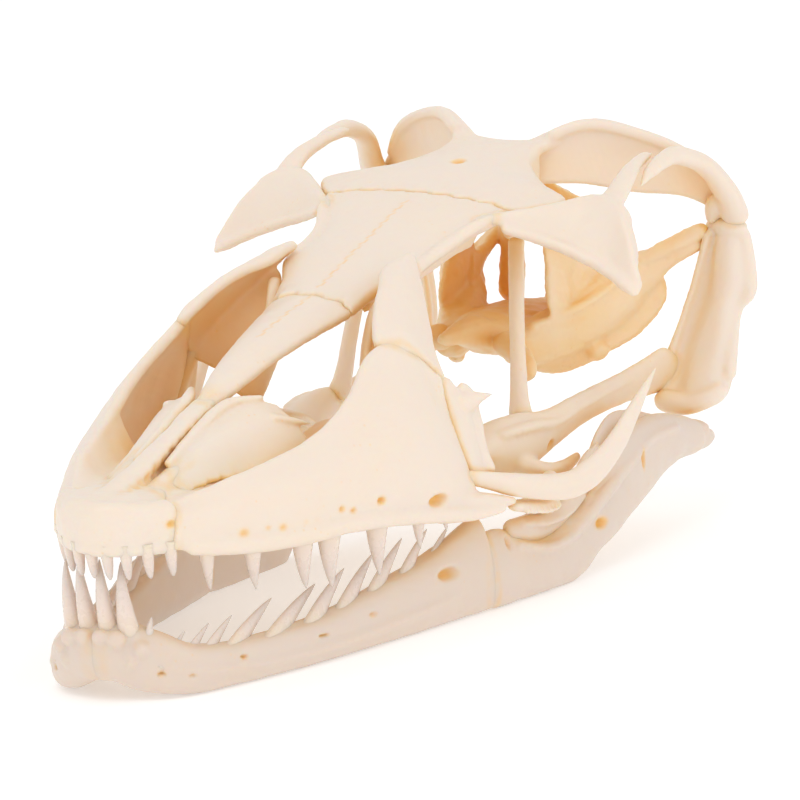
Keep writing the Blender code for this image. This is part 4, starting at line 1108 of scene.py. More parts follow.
    def quadrate(self) -> Bone:
        """The upright conch that hangs from the arch and meets the jaw."""
        conch = sheet([
            [(26.9, 131.5, 43.4), (28.2, 132.2, 44.2), (29.2, 130.9, 44.4), (31.2, 131.0, 44.4),
             (33.0, 132.4, 44.0)],
            [(25.9, 132.4, 39.6), (27.2, 132.7, 39.8), (28.4, 131.4, 40.0), (31.0, 131.6, 40.3),
             (32.8, 134.3, 40.6)],
            [(24.3, 133.0, 35.0), (26.2, 133.4, 35.0), (28.2, 131.9, 35.0), (30.8, 132.4, 35.0),
             (32.7, 136.0, 34.7)],
            [(23.2, 133.0, 31.8), (25.2, 133.5, 31.6), (27.6, 132.0, 31.4), (30.0, 132.6, 31.4),
             (31.4, 135.8, 31.8)],
            [(21.8, 131.9, 25.0), (23.4, 132.4, 25.2), (25.8, 131.4, 25.2), (29.0, 131.6, 25.4),
             (31.0, 134.4, 25.4)],
            [(21.2, 129.4, 20.0), (23.2, 130.2, 20.2), (25.6, 129.2, 20.2), (28.6, 129.4, 19.6),
             (31.4, 132.0, 19.4)],
            [(21.4, 127.6, 17.4), (23.6, 127.9, 17.2), (25.8, 127.4, 16.9), (28.4, 128.2, 17.0),
             (30.8, 130.4, 17.6)],
        ], 2.5, (0.5, -1, 0), edge=1.0, ends=(0.8, 0.9), size=(90, 56), swell=0.3)
        head = ball((30.0, 132.4, 43.8), (2.9, 2.0, 1.6))
        condyle = tube([(20.1, 127.6, 17.0, 1.3, 1.4), (22.4, 127.7, 16.6, 1.8, 1.8),
                        (25.4, 128.0, 16.4, 1.9, 1.7),
                        (28.4, 129.2, 17.6, 1.9, 1.6), (30.6, 130.9, 19.0, 1.3, 1.5)])
        drum = tube([(32.2, 132.6, 43.4, 0.9, 1.2), (32.1, 134.2, 40.4, 1.0, 1.3),
                     (32.1, 135.6, 35.6, 1.1, 1.5), (31.9, 135.8, 33.0, 1.1, 1.4),
                     (30.4, 135.0, 30.6, 0.9, 1.1), (30.1, 134.0, 25.6, 1.0, 1.2),
                     (30.6, 131.8, 20.0, 1.2, 1.3)], up=(0, 1, 0), steps=90)
        crest = tube([(26.8, 131.6, 43.0, 0.7, 0.7), (24.4, 133.0, 35.4, 0.6, 0.7),
                      (22.3, 132.5, 28.0, 0.6, 0.8),
                      (21.0, 130.6, 22.0, 0.9, 1.0), (20.6, 128.4, 18.4, 1.2, 1.3)], up=(0, 1, 0))
        return Bone("quadrate", [conch, head, condyle, drum, crest], CRANIUM, smoothing=7)


@dataclass
class SkullFloor:
    """Braincase, pterygoids, epipterygoids, palatines and vomers."""

    def braincase(self) -> Bone:
        """The fused box around the brain, open in front and behind."""
        floor = tube([(0, 95.0, 30.0, 0.8, 0.8), (0, 104.0, 29.6, 2.4, 2.3), (0, 110.0, 28.4, 5.6, 3.3),
                      (0, 118.0, 27.4, 8.6, 3.7), (0, 126.0, 27.0, 8.8, 3.7), (0, 132.6, 27.2, 6.6, 2.6),
                      (0, 135.6, 28.2, 3.6, 2.2)])
        rows = []
        for y, w, z in ((119.4, 4.0, 53.5), (122.6, 6.8, 50.8), (126.4, 9.2, 48.5), (130.6, 8.6, 46.5),
                        (133.3, 5.4, 45.1)):
            rows.append(across([(0, y, z + 0.3), (w * 0.6, y, z - 0.4), (w, y, z - 1.7)]))
        roof = sheet(rows, 2.1, (0, 0.4, 1), edge=0.9)
        condyle = ball((0, 136.0, 29.4), (2.8, 2.4, 2.0))
        ear = tube([(4.6, 107.0, 26.6, 2.4, 2.3), (7.6, 115.0, 27.4, 3.2, 4.0),
                    (10.0, 121.5, 29.2, 3.5, 4.6), (12.8, 127.0, 32.0, 3.2, 4.6),
                    (15.6, 130.2, 35.2, 2.4, 3.6), (19.0, 131.6, 37.8, 1.5, 2.2),
                    (23.0, 132.4, 39.8, 1.1, 1.4), (25.6, 132.9, 41.0, 0.9, 1.1)], power=2.2, steps=80)
        bar = tube([(11.4, 127.2, 35.4, 1.8, 1.6), (16.4, 129.8, 37.6, 1.3, 1.3),
                    (22.0, 131.3, 41.0, 1.1, 1.25), (26.6, 132.0, 43.4, 1.2, 1.4)])
        crista = sheet([
            [(18.4, 131.9, 37.4), (19.9, 132.2, 34.0), (20.0, 131.9, 31.2)],
            [(14.6, 128.8, 33.4), (16.8, 129.4, 30.0), (17.2, 129.0, 26.4)],
            [(11.6, 123.8, 30.4), (13.6, 124.2, 27.0), (14.0, 123.2, 23.8)],
            [(8.8, 117.6, 28.4), (10.2, 117.8, 24.8), (10.3, 116.6, 21.9)],
            [(6.6, 112.8, 27.0), (7.8, 113.0, 24.6), (7.6, 112.2, 22.8)],
        ], 2.4, (1, 0, -0.4), edge=1.1, ends=(0.8, 0.8), size=(80, 36))
        wall = tube([(9.8, 118.4, 29.0, 1.5, 7.2), (9.2, 117.8, 33.6, 1.0, 5.8),
                     (8.6, 117.4, 38.5, 0.85, 4.5),
                     (8.0, 117.2, 43.0, 0.8, 4.0), (7.2, 118.4, 48.8, 0.8, 3.7)], up=(0, 1, 0), power=2.6)
        flank = sheet([
            [(9.0, 119.6, 39.0), (10.0, 119.8, 34.6), (10.6, 119.6, 29.0)],
            [(9.6, 124.0, 38.6), (11.2, 124.4, 34.4), (12.6, 124.2, 29.6)],
            [(9.4, 128.0, 39.4), (12.0, 128.4, 36.6), (14.6, 128.6, 32.6)],
            [(8.0, 132.0, 42.4), (11.6, 131.6, 39.6), (15.6, 131.0, 35.6)],
        ], 1.7, (1, -0.2, 0.2), edge=0.7, swell=0.4)
        pillar = tube([(6.6, 131.2, 29.0, 2.2, 2.0), (6.6, 131.6, 36.0, 2.0, 1.8),
                       (6.4, 130.6, 42.0, 1.9, 1.8), (6.0, 128.8, 46.6, 1.8, 1.8)], up=(0, 1, 0))
        foot = tube([(4.0, 106.6, 28.4, 2.2, 2.2), (8.6, 103.6, 27.2, 1.7, 1.8),
                     (12.4, 100.4, 24.6, 1.6, 2.1)])
        ridge = tube([(7.0, 110.0, 29.6, 0.9, 0.8), (10.8, 117.0, 31.6, 0.9, 0.8),
                      (13.6, 123.4, 34.0, 0.8, 0.7), (16.0, 128.6, 37.2, 0.7, 0.7)])
        knob = ball((12.4, 122.6, 24.6), (2.0, 2.6, 1.7))
        shells = [floor, roof, condyle]
        for piece in (ear, bar, crista, wall, flank, pillar, foot, ridge, knob):
            shells += both(piece)
        return Bone("braincase", shells, INNER_SHADED, paired=False, relief=0.16, smoothing=7)

    def pterygoid(self) -> Bone:
        """The long beam from the palate back to the quadrate, with its side wing."""
        beam = tube([(12.4, 69.5, 20.0, 2.8, 0.9), (14.2, 76.0, 18.9, 3.6, 1.8),
                     (15.4, 82.0, 18.0, 3.4, 4.0), (16.6, 88.5, 17.8, 2.9, 4.4),
                     (17.4, 96.0, 18.2, 1.9, 3.1), (17.9, 106.0, 19.4, 1.4, 2.5),
                     (18.7, 117.0, 20.1, 1.2, 2.5), (19.7, 125.0, 20.6, 1.1, 3.1),
                     (21.0, 129.4, 21.4, 1.1, 3.5), (22.4, 131.8, 22.4, 0.6, 2.6)],
                    steps=90)
        wing = tube([(17.8, 84.0, 16.0, 1.6, 1.6), (20.3, 89.0, 13.9, 1.6, 1.3),
                     (20.4, 95.0, 13.0, 1.2, 1.1), (19.8, 101.6, 13.4, 0.6, 0.7)])
        ridge = tube([(17.6, 80.0, 20.6, 0.8, 0.7), (19.0, 88.0, 20.6, 1.0, 0.8),
                      (18.9, 96.0, 19.6, 0.9, 0.7),
                      (19.0, 106.0, 20.4, 0.7, 0.6), (19.8, 120.0, 21.4, 0.5, 0.5)])
        return Bone("pterygoid", [beam, wing, ridge], CRANIUM, smoothing=7,
                    pits=[Pit((19.2, 93.6, 16.4), (0.8, 0.9, 0.8), 1.2, 1.2)])

    def epipterygoid(self) -> Bone:
        """The slender pillar from the pterygoid to the roof."""
        rod = tube([(15.4, 91.4, 20.0, 2.2, 1.7), (15.0, 91.8, 22.0, 1.7, 1.4),
                    (14.6, 92.2, 24.6, 1.35, 1.2), (13.6, 93.4, 33.0, 1.15, 1.1),
                    (12.6, 95.0, 41.0, 1.25, 1.0), (11.8, 96.4, 46.4, 1.4, 0.9)],
                   up=(0, 1, 0))
        return Bone("epipterygoid", [rod], CRANIUM, grain=0.28)

    def palatine(self) -> Bone:
        """The arched plate of the palate."""
        plate = sheet([
            [(2.6, 47.0, 25.0), (8.0, 46.5, 24.9), (14.0, 47.0, 22.6), (19.5, 48.0, 20.6)],
            [(2.8, 54.0, 26.6), (8.0, 54.0, 27.1), (14.6, 54.0, 24.2), (21.0, 54.0, 20.4)],
            [(3.8, 62.0, 25.2), (9.0, 62.0, 25.3), (14.2, 61.5, 22.8), (20.0, 60.0, 20.2)],
            [(6.6, 70.0, 22.4), (9.6, 70.6, 22.1), (12.6, 70.6, 21.1), (15.4, 69.4, 20.4)],
        ], 1.3, (0, 0, 1), edge=0.6)
        return Bone("palatine", [plate], CRANIUM, pits=[Pit((9.0, 50.0, 26.4), (0.8, 1.0, 0.8), 0.8)])

    def vomer(self) -> Bone:
        """The narrow strip beside the middle of the palate."""
        strip = tube([(1.5, 12.6, 22.8, 0.8, 0.6), (2.5, 22.0, 23.6, 1.6, 0.7), (3.2, 34.0, 24.5, 2.2, 0.8),
                      (3.0, 46.4, 25.2, 1.9, 0.7)])
        return Bone("vomer", [strip], INNER_SHADED)


@dataclass
class LowerJaw:
    """Dentary, rear jaw and coronoid of one side."""

    belly: float = 4.0

    def dentary(self) -> Bone:
        """The tooth-bearing front half of the jaw."""
        bar = tube([(-0.8, 5.3, 6.7, 2.1, 3.6), (2.2, 5.1, 6.4, 2.3, 3.9), (5.8, 6.7, 4.9, 2.5, 4.0),
                    (9.2, 10.0, 3.35, 2.5, 3.3), (12.0, 16.0, 2.85, 2.2, 2.85),
                    (14.6, 23.0, 2.85, 2.1, 2.85),
                    (16.9, 31.0, 3.1, 2.1, 3.1), (19.2, 41.0, 4.0, 2.1, 4.0), (21.2, 51.0, 4.9, 2.1, 4.9),
                    (22.8, 59.0, 6.3, 2.0, 6.3), (23.7, 63.4, 7.1, 1.9, 7.0)], power=2.6, steps=120,
                   blunt=0.12)
        shelf = tube([(3.0, 5.6, 9.2, 2.0, 1.6), (7.2, 8.2, 6.0, 2.0, 1.4), (10.6, 13.4, 4.6, 1.8, 1.3),
                      (13.4, 20.6, 4.4, 1.6, 1.4), (16.4, 31.0, 4.8, 1.5, 1.6), (18.9, 42.0, 6.6, 1.4, 1.6),
                      (21.2, 54.0, 9.2, 1.2, 1.6), (22.6, 61.4, 11.8, 0.9, 1.2)])
        ridge = tube([(8.2, 6.2, 4.6, 1.2, 0.9), (11.2, 10.6, 3.2, 1.3, 0.8), (14.2, 18.0, 2.4, 1.2, 0.8),
                      (17.8, 29.0, 2.2, 1.2, 0.8), (20.6, 41.0, 2.8, 1.2, 0.9), (22.8, 52.0, 3.6, 1.0, 0.9),
                      (24.2, 60.0, 4.8, 0.6, 0.7)], steps=80)
        chin = tube([(-3.0, 4.8, 6.2, 1.3, 2.6), (-0.6, 4.1, 6.1, 1.7, 3.3), (1.8, 4.0, 6.0, 1.8, 3.3),
                     (4.6, 5.0, 5.6, 1.6, 2.9), (7.2, 7.0, 5.0, 1.2, 2.2)], up=(0, 0, 1))
        bosses = [ball(p, (r, r * 0.9, r * 0.9)) for p, r in (
            ((3.6, 2.9, 8.4), 1.3), ((6.2, 4.5, 7.0), 1.25), ((1.3, 2.6, 8.7), 1.2), ((8.4, 6.8, 5.8), 1.1),
            ((5.0, 3.6, 5.4), 1.0))]
        pits = [Pit((8.4, 5.2, 3.6), (0.5, 0.6, 0.32), 0.8, 1.1),
                Pit((10.6, 8.6, 2.9), (0.6, 0.6, 0.26), 0.8, 1.1),
                Pit((14.4, 15.6, 3.8), (0.5, 0.6, 0.24), 0.8, 1.1),
                Pit((18.6, 28.4, 3.9), (0.5, 0.9, 0.22), 0.8, 1.1),
                Pit((20.9, 37.4, 4.8), (0.5, 0.9, 0.24), 0.9, 1.1),
                Pit((23.2, 53.6, 7.2), (0.9, 2.3, 0.85), 1.6, 0.95)]
        return Bone("dentary", [bar, shelf, ridge, chin] + bosses, JAW, Part.JAW, pits=pits, smoothing=6,
                    seam_reach=0.55)

    def postdentary(self, belly: float = 0.0) -> Bone:
        """The rear half of the jaw with its joint socket and rear spur."""
        path = np.array([(23.2, 60.4, 6.2, 1.2, 4.6), (24.2, 64.6, 5.6, 1.8, 5.6),
                         (24.8, 70.0, 4.6, 2.0, 4.6), (25.6, 76.0, 4.0, 2.2, 4.0),
                         (26.0, 83.6, 4.9, 2.3, 4.9), (26.3, 88.4, 6.6, 2.3, 4.3),
                         (26.6, 93.5, 8.2, 2.3, 4.3), (26.6, 99.0, 11.2, 2.4, 5.4),
                         (26.4, 105.0, 13.2, 2.5, 5.6), (26.0, 112.0, 14.6, 2.8, 4.7),
                         (25.8, 118.0, 14.8, 3.3, 3.7), (26.0, 123.5, 14.0, 3.3, 2.8),
                         (27.0, 126.6, 13.4, 2.0, 1.8), (27.7, 129.0, 13.3, 0.9, 0.9)])
        drop = belly / 2 * np.clip(1 - np.abs(path[:, 1] - 85) / 20, 0, 1)
        path[:, 2] -= drop
        path[:, 4] += drop
        bar = tube(path, power=2.3, steps=110, blunt=0.4)
        wall = tube([(23.6, 96.0, 13.6, 0.8, 2.0), (23.0, 101.0, 16.4, 0.85, 2.6),
                     (22.5, 106.0, 17.8, 0.9, 2.8),
                     (22.2, 112.0, 17.8, 0.95, 2.3), (22.6, 119.5, 16.2, 1.5, 1.8)])
        crest = tube([(25.6, 68.0, 8.4, 0.9, 0.7), (27.0, 75.0, 6.6, 1.1, 0.8), (27.6, 82.0, 7.4, 1.1, 0.9),
                      (28.2, 90.0, 10.6, 1.0, 0.9), (28.4, 97.0, 13.6, 1.0, 0.9),
                      (28.2, 106.0, 16.4, 0.9, 0.8), (28.4, 116.0, 16.8, 0.8, 0.8)], steps=80)
        socket = tube([(23.0, 124.8, 15.6, 1.6, 1.2), (26.4, 125.2, 15.2, 1.8, 1.2),
                       (29.2, 124.4, 14.8, 1.2, 1.0)])
        pits = [Pit((28.6, 89.0, 7.4), (0.6, 1.2, 0.6), 1.0),
                Pit((28.8, 103.0, 14.2), (0.6, 0.4, 1.1), 0.8),
                Pit((26.2, 66.0, 9.6), (0.6, 0.6, 1.3), 0.9, 0.9)]
        return Bone("postdentary", [bar, wall, crest, socket], JAW, Part.JAW, pits=pits, smoothing=6)

    def coronoid(self) -> Bone:
        """The blade that rises from the inner side of the jaw."""
        blade = tube([(25.2, 66.8, 10.8, 1.0, 1.2), (25.4, 73.0, 9.7, 1.6, 2.1),
                      (25.4, 79.0, 9.8, 1.75, 2.3), (25.2, 85.0, 10.5, 1.6, 2.3),
                      (24.8, 90.5, 12.8, 1.3, 2.5), (24.3, 95.0, 14.8, 1.0, 2.4),
                      (23.9, 99.0, 16.8, 0.4, 0.8)])
        flare = sheet([[(26.4, 69.0, 12.4), (27.4, 69.4, 11.0)], [(26.9, 75.0, 11.8), (28.2, 75.4, 10.0)],
                       [(26.8, 81.0, 12.2), (28.2, 81.6, 10.2)], [(26.2, 87.0, 13.4), (27.4, 88.0, 11.6)]],
                      0.9, (1, 0, 0.6), edge=0.4)
        return Bone("coronoid", [blade, flare], JAW, Part.JAW, smoothing=6)


# Teeth

@dataclass
class ToothRow:
    """Teeth of one bone: each row is root x, y, z, tip x, y, z, and half width along the jaw."""

    bone: str
    part: Part
    places: Sequence[Tuple[float, float, float, float, float, float, float]]
    hook: float = 0.6
    squash: Union[float, Sequence[float]] = 0.72
    taper: float = 0.72
    paired: bool = True

    def shells(self) -> Tuple[List[Shell], Array]:
        """All teeth of the row at once.

        Along a tooth its middle line runs from root to tip as a quadratic bow of hook
        millimetres for a tooth of usual width; its half width falls as (1 - s) to the power of
        taper, and its section is an oval with a faint keel in front and behind.

        Returns:
            The shells, and how far up its tooth each point lies, from 0 to 1.
        """
        rows = np.asarray(self.places, float)
        root, tip, wide = rows[:, :3], rows[:, 3:6], rows[:, 6]
        axis = unit(tip - root)
        buried, usual_width, keel = 1.4, 1.1, 0.10
        base = root - axis * buried
        steps, around = 22, 16
        s = np.linspace(0, 1, steps)[None, :, None]
        back = np.array([0.0, 1.0, 0.0])
        bow = self.hook * (wide[:, None, None] / usual_width)
        line = base[:, None] * (1 - s) + tip[:, None] * s - back * bow * 4 * s * (1 - s) * 0.5
        run = unit(np.gradient(line, axis=1))
        side = unit(np.cross(run, back))
        rise = np.cross(side, run)
        girth = wide[:, None, None] * np.clip(1 - s, 0.008, 1) ** self.taper
        turn = np.linspace(0, 2 * math.pi, around, endpoint=False)
        squash = np.broadcast_to(np.asarray(self.squash, float), len(rows))
        flat = squash[:, None, None, None] * np.cos(turn)[None, None, :, None]
        tall = (np.sin(turn) * (1 + keel * np.abs(np.sin(turn)) ** 6))[None, None, :, None]
        rings = line[:, :, None] + girth[:, :, None] * (side[:, :, None] * flat + rise[:, :, None] * tall)
        k = np.arange(around)
        n = (k + 1) % around
        last = (steps - 1) * around
        fans = np.concatenate([np.stack([n, k, np.full(around, steps * around)], -1),
                               np.stack([last + k, last + n, np.full(around, steps * around + 1)], -1)])
        shells = []
        for i in range(len(rows)):
            points = np.concatenate([rings[i].reshape(-1, 3), base[i:i + 1], tip[i:i + 1]])
            shells.append(Shell(points, ring_faces(steps, around), fans))
        one = np.concatenate([np.repeat(np.linspace(0, 1, steps), around), [0.0, 1.0]])
        return shells, np.tile(one, len(rows))


def upper_teeth(tip: SnoutTip) -> List[ToothRow]:
    """The rows of the cranium, placed along the tooth line."""
    front = []
    for x in (-8.4, -6.5, -4.4, -2.2, 0.0, 2.2, 4.4, 6.5, 8.4):
        y = tip.arc(x) + 1.3
        front.append((x * 0.97, y, 20.0, x * 0.96, y + 0.7, 16.5, 0.92))
    line = np.array([(8.2, 9.9), (13.1, 17.0), (16.4, 24.0), (19.1, 31.0), (21.8, 40.0), (23.7, 47.0),
                     (25.2, 53.0)])
    side = []
    for y, length, radius in ((13.0, 5.0, 1.3), (18.5, 5.8, 1.55), (25.7, 7.0, 1.85), (29.8, 7.7, 2.0),
                              (38.0, 7.4, 1.95), (45.5, 5.0, 1.35), (50.5, 3.4, 1.0)):
        x = float(np.interp(y, line[:, 1], line[:, 0]))
        z = 18.9 - 0.035 * max(0.0, y - 30)
        side.append((x, y, z, x - 0.4, y + 1.3, z - length - 0.6, radius))
    return [ToothRow("premaxilla", Part.CRANIUM, front, hook=0.2, squash=0.95, taper=0.34, paired=False),
            ToothRow("maxilla", Part.CRANIUM, side, hook=0.5, squash=0.9, taper=0.66)]


def lower_teeth() -> ToothRow:
    """The row of the dentary: tall front fangs, then teeth that lean far back."""
    fangs = [(1.5, 4.9, 9.0, 1.6, 3.4, 18.6, 1.6), (4.1, 5.5, 8.4, 4.3, 4.2, 18.2, 1.65),
             (6.4, 6.2, 6.6, 6.4, 7.0, 10.6, 1.2)]
    rows = ((8.4, 7.2, 5.2, 3.8, 2.8, 1.1), (9.8, 9.6, 5.0, 4.8, 3.3, 1.2),
            (11.0, 12.2, 4.8, 5.8, 3.8, 1.35), (12.6, 16.2, 4.8, 9.0, 4.6, 1.7),
            (14.8, 22.6, 4.8, 10.0, 5.0, 1.9), (16.6, 29.2, 5.2, 8.0, 5.8, 1.9),
            (18.0, 34.8, 5.8, 7.8, 6.2, 1.85), (19.4, 40.6, 7.0, 7.4, 6.0, 1.7),
            (20.6, 46.8, 8.2, 6.0, 5.2, 1.45), (21.6, 52.4, 9.2, 4.4, 3.8, 1.1))
    for x, y, z, back, rise, radius in rows:
        fangs.append((x - 0.3, y, z - 0.4, x + 0.2, y + back, z + rise, radius))
    return ToothRow("dentary", Part.JAW, fangs, hook=0.9, squash=[0.95, 0.95, 0.9] + [0.62] * len(rows),
                    taper=0.66)


# Assembly

class Placement:
    """Turns the millimetres of each loose part into metres of the whole skull."""

    def __init__(self) -> None:
        """Work out the matrix of each part."""
        shift = Matrix.Translation(Vector(SNOUT_SHIFT) * MM)
        scale = Matrix.Diagonal((MM, MM, MM, 1))
        lean = Euler([math.radians(a) for a in CRANIUM_TILT]).to_matrix().to_4x4()
        joint = Vector(JAW_JOINT)
        lift = (Matrix.Translation(joint) @ Matrix.Rotation(math.radians(RIGHT_JAW_LIFT), 4, "X")
                @ Matrix.Translation(-joint))
        self.matrix = {Part.CRANIUM: np.array(shift @ scale @ lean),
                       Part.JAW: np.array(shift @ scale),
                       Part.RAISED_JAW: np.array(shift @ scale @ lift)}

    def place(self, mesh: bpy.types.Mesh, part: Part) -> None:
        """Bake a part's place into a mesh."""
        matrix = self.matrix[part]
        set_points(mesh, points_of(mesh) @ matrix[:3, :3].T + matrix[:3, 3])


@dataclass
class Piece:
    """A bone's object, its name, how far its seams' colour spreads, and its part of the skull."""

    thing: bpy.types.Object
    name: str
    reach: float
    part: Part


def sided(name: str, side: Side) -> str:
    """A bone's name with its side."""
    return name if side is Side.MIDDLE else f"{name}_{side.value}"


class SkullBuilder:
    """Builds, places and dresses every bone and tooth row."""

    def __init__(self) -> None:
        """Start with no pieces."""
        self.palette = Palette()
        self.placement = Placement()
        self.pieces: List[Piece] = []

    def add(self, mesh: bpy.types.Mesh, name: str, node: str, material: bpy.types.Material, slot: str) \
            -> bpy.types.Object:
        """Make the object of a finished mesh and give it to the frame.

        Args:
            mesh: the mesh, in metres.
            name: the piece's name.
            node: the CAD node that it stands for.
            material: its finish.
            slot: not used.

        Returns:
            The object.
        """
        mesh.materials.clear()
        mesh.materials.append(material)
        mesh.shade_smooth()
        thing = linked(name, mesh)
        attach(thing, "root")
        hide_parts(node)
        return thing

    def add_bone(self, bone: Bone, side: Side, mesh: bpy.types.Mesh) -> None:
        """Place one grown mesh and keep it for tinting."""
        node = sided(bone.name, side)
        raised = side is Side.RIGHT and bone.name in RAISED_BONES
        part = Part.RAISED_JAW if raised else bone.part
        self.placement.place(mesh, part)
        if bone.part is Part.JAW:
            points = points_of(mesh)
            points[:, 2] = np.maximum(points[:, 2], 0.0)
            set_points(mesh, points)
        thing = self.add(mesh, node + "_surface", node, self.palette.bone(bone.finish), bone.finish.slot)
        self.pieces.append(Piece(thing, node, bone.seam_reach, bone.part))
        log.info("%s: %d points", thing.name, len(mesh.vertices))

    def grow(self, bone: Bone) -> bpy.types.Mesh:
        """Grow a bone's mesh, and press its foramina and relief into it."""
        mesh = grown_together(bone.name, bone.shells, bone.grain, bone.smoothing)
        points = points_of(mesh)
        normals = normals_of(mesh)
        depth, tint = pit_field(points, bone.pits)
        groove, line = fold_field(points, bone.folds)
        depth, tint = depth + groove, np.maximum(tint, line)
        relief = sum(bone.relief * share * ripple(points, scale, seed) for share, scale, seed in RELIEF)
        set_points(mesh, points + normals * (relief - depth)[:, None])
        keep_values(mesh, "pit", tint)
        return mesh

    def build_bone(self, bone: Bone, twin: Optional[Bone] = None) -> None:
        """Build a bone, and its fellow of the right side.

        Args:
            bone: the left or middle bone.
            twin: the drawing of the right one where it differs.
        """
        mesh = self.grow(bone)
        if not bone.paired:
            self.add_bone(bone, Side.MIDDLE, mesh)
            return
        source = mesh if twin is None else self.grow(twin)
        other = mirror_mesh(source, bone.name + "_right")
        self.add_bone(bone, Side.LEFT, mesh)
        self.add_bone(bone, Side.RIGHT, other)

    def build_teeth(self, row: ToothRow) -> None:
        """Build a row of teeth, and its fellow of the right side."""
        shells, rise = row.shells()
        sides = [(Side.LEFT, shells)] if row.paired else [(Side.MIDDLE, shells)]
        if row.paired:
            sides.append((Side.RIGHT, [flipped(s) for s in shells]))
        for side, drawn in sides:
            node = sided(row.bone, side)
            mesh = mesh_from(node + "_teeth", merged(drawn))
            keep_values(mesh, "rise", rise)
            self.placement.place(mesh, row.part)
            slot = "jaw_bone" if row.part is Part.JAW else "cranium_bone"
            thing = self.add(mesh, node + "_teeth", node, self.palette.tooth(TEETH), slot)
            log.info("%s: %d teeth", thing.name, len(drawn))

    def tint(self) -> None:
        """Write how deep in the skull and how near a seam each point of each bone lies.

        Deep is the share of the sky over a point that other bone hides. Seam is the share of
        cells close by that hold another bone.
        """
        points = {p.name: points_of(p.thing.data) / MM for p in self.pieces}
        shade = SkyShade(np.concatenate(list(points.values())))
        hidden = shade.hidden(points, {p.name: normals_of(p.thing.data) for p in self.pieces})
        for piece in self.pieces:
            near = [points[p.name] for p in self.pieces
                    if p.name != piece.name and p.part is piece.part]
            # The hidden share goes to the material, which paints it into the bone's colour as shade.
            keep_values(piece.thing.data, "deep", hidden[piece.name])
            keep_values(piece.thing.data, "seam", self.closeness(points[piece.name], near, piece.reach))

    @staticmethod
    def closeness(own: Array, near: Sequence[Array], reach: float) -> Array:
        """How strongly a seam colours each point, from 0 to 1.

        It rises with the share of nearby cells that hold a neighbour's surface, and falls again
        where they crowd, as where one bone lies flat on another.

        Args:
            own: points of the bone.
            near: points of each bone that may touch it.
            reach: how far the colour spreads, 1 being usual.
        """
        cell, margin = 0.35, 2
        low = own.min(axis=0) - margin
        high = own.max(axis=0) + margin
        shape = tuple(int(v) for v in np.ceil((high - low) / cell))
        others = np.concatenate(near)
        others = others[np.all((others > low) & (others < high), axis=1)]
        if not len(others):
            return np.zeros(len(own))
        grid = box_blur(box_blur(cell_counts(others, low, cell, shape), 1), 1)
        share = sample(grid, own, low, cell)
        rise = np.clip(share * 4.2 * reach - 0.12, 0, 1)
        return rise * np.clip(1.6 - share * 3.4, 0.15, 1)


# Studio

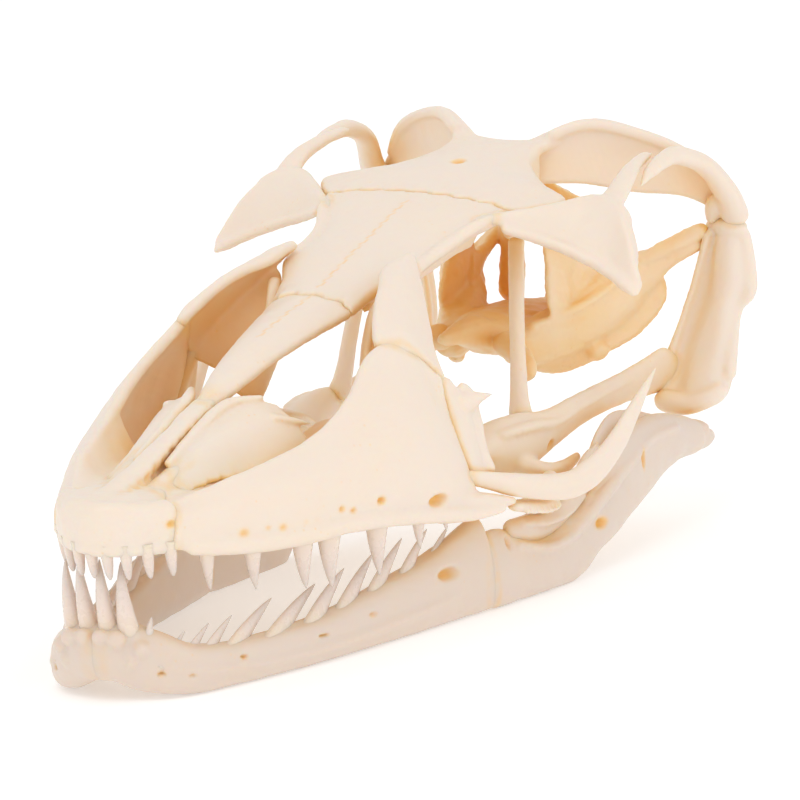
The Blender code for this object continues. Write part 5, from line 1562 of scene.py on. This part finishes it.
@dataclass
class Studio:
    """Pale floor, soft lights and the camera at the photograph's angle.

    Angles are degrees, offset and distance are millimetres, and lens is the focal length.
    """

    azimuth: float = 30.8
    height: float = 8.4
    roll: float = -4.15
    offset: Tuple[float, float] = (-39.8, -39.05)
    distance: float = 443.4
    lens: float = 157.5
    floor_reach: float = 9.0        # metres
    floor_drop: float = 0.00005     # metres under the table plane
    floor_glow: float = 0.34
    sky: float = 0.88

    def turn(self) -> Array:
        """The camera's right, up and back directions, as rows."""
        a, e, r = (math.radians(v) for v in (self.azimuth, self.height, self.roll))
        back = np.array([math.sin(a) * math.cos(e), -math.cos(a) * math.cos(e), math.sin(e)])
        right = np.array([math.cos(a), math.sin(a), 0.0])
        up = np.cross(back, right)
        return np.stack([math.cos(r) * right + math.sin(r) * up, -math.sin(r) * right + math.cos(r) * up,
                         back])

    def camera(self) -> None:
        """Set up the camera."""
        axes = self.turn()
        place = axes.T @ np.array([-self.offset[0], -self.offset[1], self.distance]) + np.array(SNOUT_SHIFT)
        data = bpy.data.cameras.new("camera")
        data.lens = self.lens
        data.sensor_width = 36.0
        data.clip_start = 0.01
        data.clip_end = 10.0
        thing = linked("camera", data)
        matrix = Matrix(axes.T.tolist()).to_4x4()
        matrix.translation = Vector(place * MM)
        thing.matrix_world = matrix
        bpy.context.scene.camera = thing

    def floor(self) -> None:
        """Lay a wide pale floor that glows faintly, just under the table plane.

        Its squares are small under the skull and grow outwards.
        """
        step = np.linspace(-1, 1, 41)
        gx, gy = np.meshgrid(self.floor_reach * step ** 3, self.floor_reach * step ** 3)
        points = np.stack([gx, gy, np.full_like(gx, -self.floor_drop)], -1).reshape(-1, 3)
        i = np.arange(len(step) - 1)[:, None] * len(step)
        k = np.arange(len(step) - 1)[None, :]
        quads = np.stack([i + k, i + k + 1, i + len(step) + k + 1, i + len(step) + k], -1).reshape(-1, 4)
        mesh = bpy.data.meshes.new("floor")
        mesh.from_pydata(points.tolist(), [], quads.tolist())
        mesh.shade_smooth()
        made = bpy.data.materials.new("pale_floor")
        made.use_nodes = True
        shader = made.node_tree.nodes["Principled BSDF"]
        shader.inputs["Base Color"].default_value = (0.78, 0.78, 0.78, 1)
        shader.inputs["Roughness"].default_value = 0.9
        shader.inputs["Emission Color"].default_value = (1.0, 0.99, 0.98, 1)
        shader.inputs["Emission Strength"].default_value = self.floor_glow
        mesh.materials.append(made)
        linked("floor", mesh)

    def light(self, name: str, place: Tuple[float, float, float], size: float, power: float,
              colour: Tuple[float, float, float] = (1, 1, 1)) -> None:
        """Hang one square soft light that faces the skull.

        Args:
            name: its name.
            place: where it hangs, in metres.
            size: its side, in metres.
            power: its power in watts.
            colour: its colour.
        """
        data = bpy.data.lights.new(name, "AREA")
        data.size = size
        data.energy = power
        data.color = colour
        thing = linked(name, data)
        thing.location = place
        thing.rotation_euler = (Vector((0, 0, 0.03)) - Vector(place)).to_track_quat("-Z", "Y").to_euler()

    def build(self) -> None:
        """Set the whole studio up."""
        self.camera()
        self.floor()
        self.light("key", (0.25, -0.7, 1.0), 0.6, 2.0)
        self.light("side", (1.0, -0.1, 0.5), 0.6, 0.7)
        world = bpy.data.worlds.new("studio")
        world.use_nodes = True
        background = world.node_tree.nodes["Background"]
        background.inputs["Color"].default_value = (1, 1, 1, 1)
        background.inputs["Strength"].default_value = self.sky
        bpy.context.scene.world = world
        bpy.context.scene.view_settings.view_transform = "Standard"


def main() -> None:
    """Build the skull and its studio."""
    Studio().build()
    builder = SkullBuilder()
    snout, cheek, roof, floor, jaw = SnoutTip(), UpperJaw(), SkullRoof(), SkullFloor(), LowerJaw()
    for bone in (snout.premaxilla(), cheek.maxilla(), cheek.septomaxilla(), roof.nasal(), roof.frontal(),
                 roof.parietal(), roof.prefrontal(), cheek.lacrimal(), cheek.jugal(), cheek.ectopterygoid(),
                 roof.postorbitofrontal(), roof.squamosal(), roof.quadrate(), floor.braincase(),
                 floor.pterygoid(), floor.epipterygoid(), floor.palatine(), floor.vomer(), jaw.dentary(),
                 jaw.coronoid()):
        builder.build_bone(bone)
    builder.build_bone(jaw.postdentary(), jaw.postdentary(jaw.belly))
    for row in upper_teeth(snout) + [lower_teeth()]:
        builder.build_teeth(row)
    builder.tint()


if __name__ == "__main__":
    main()
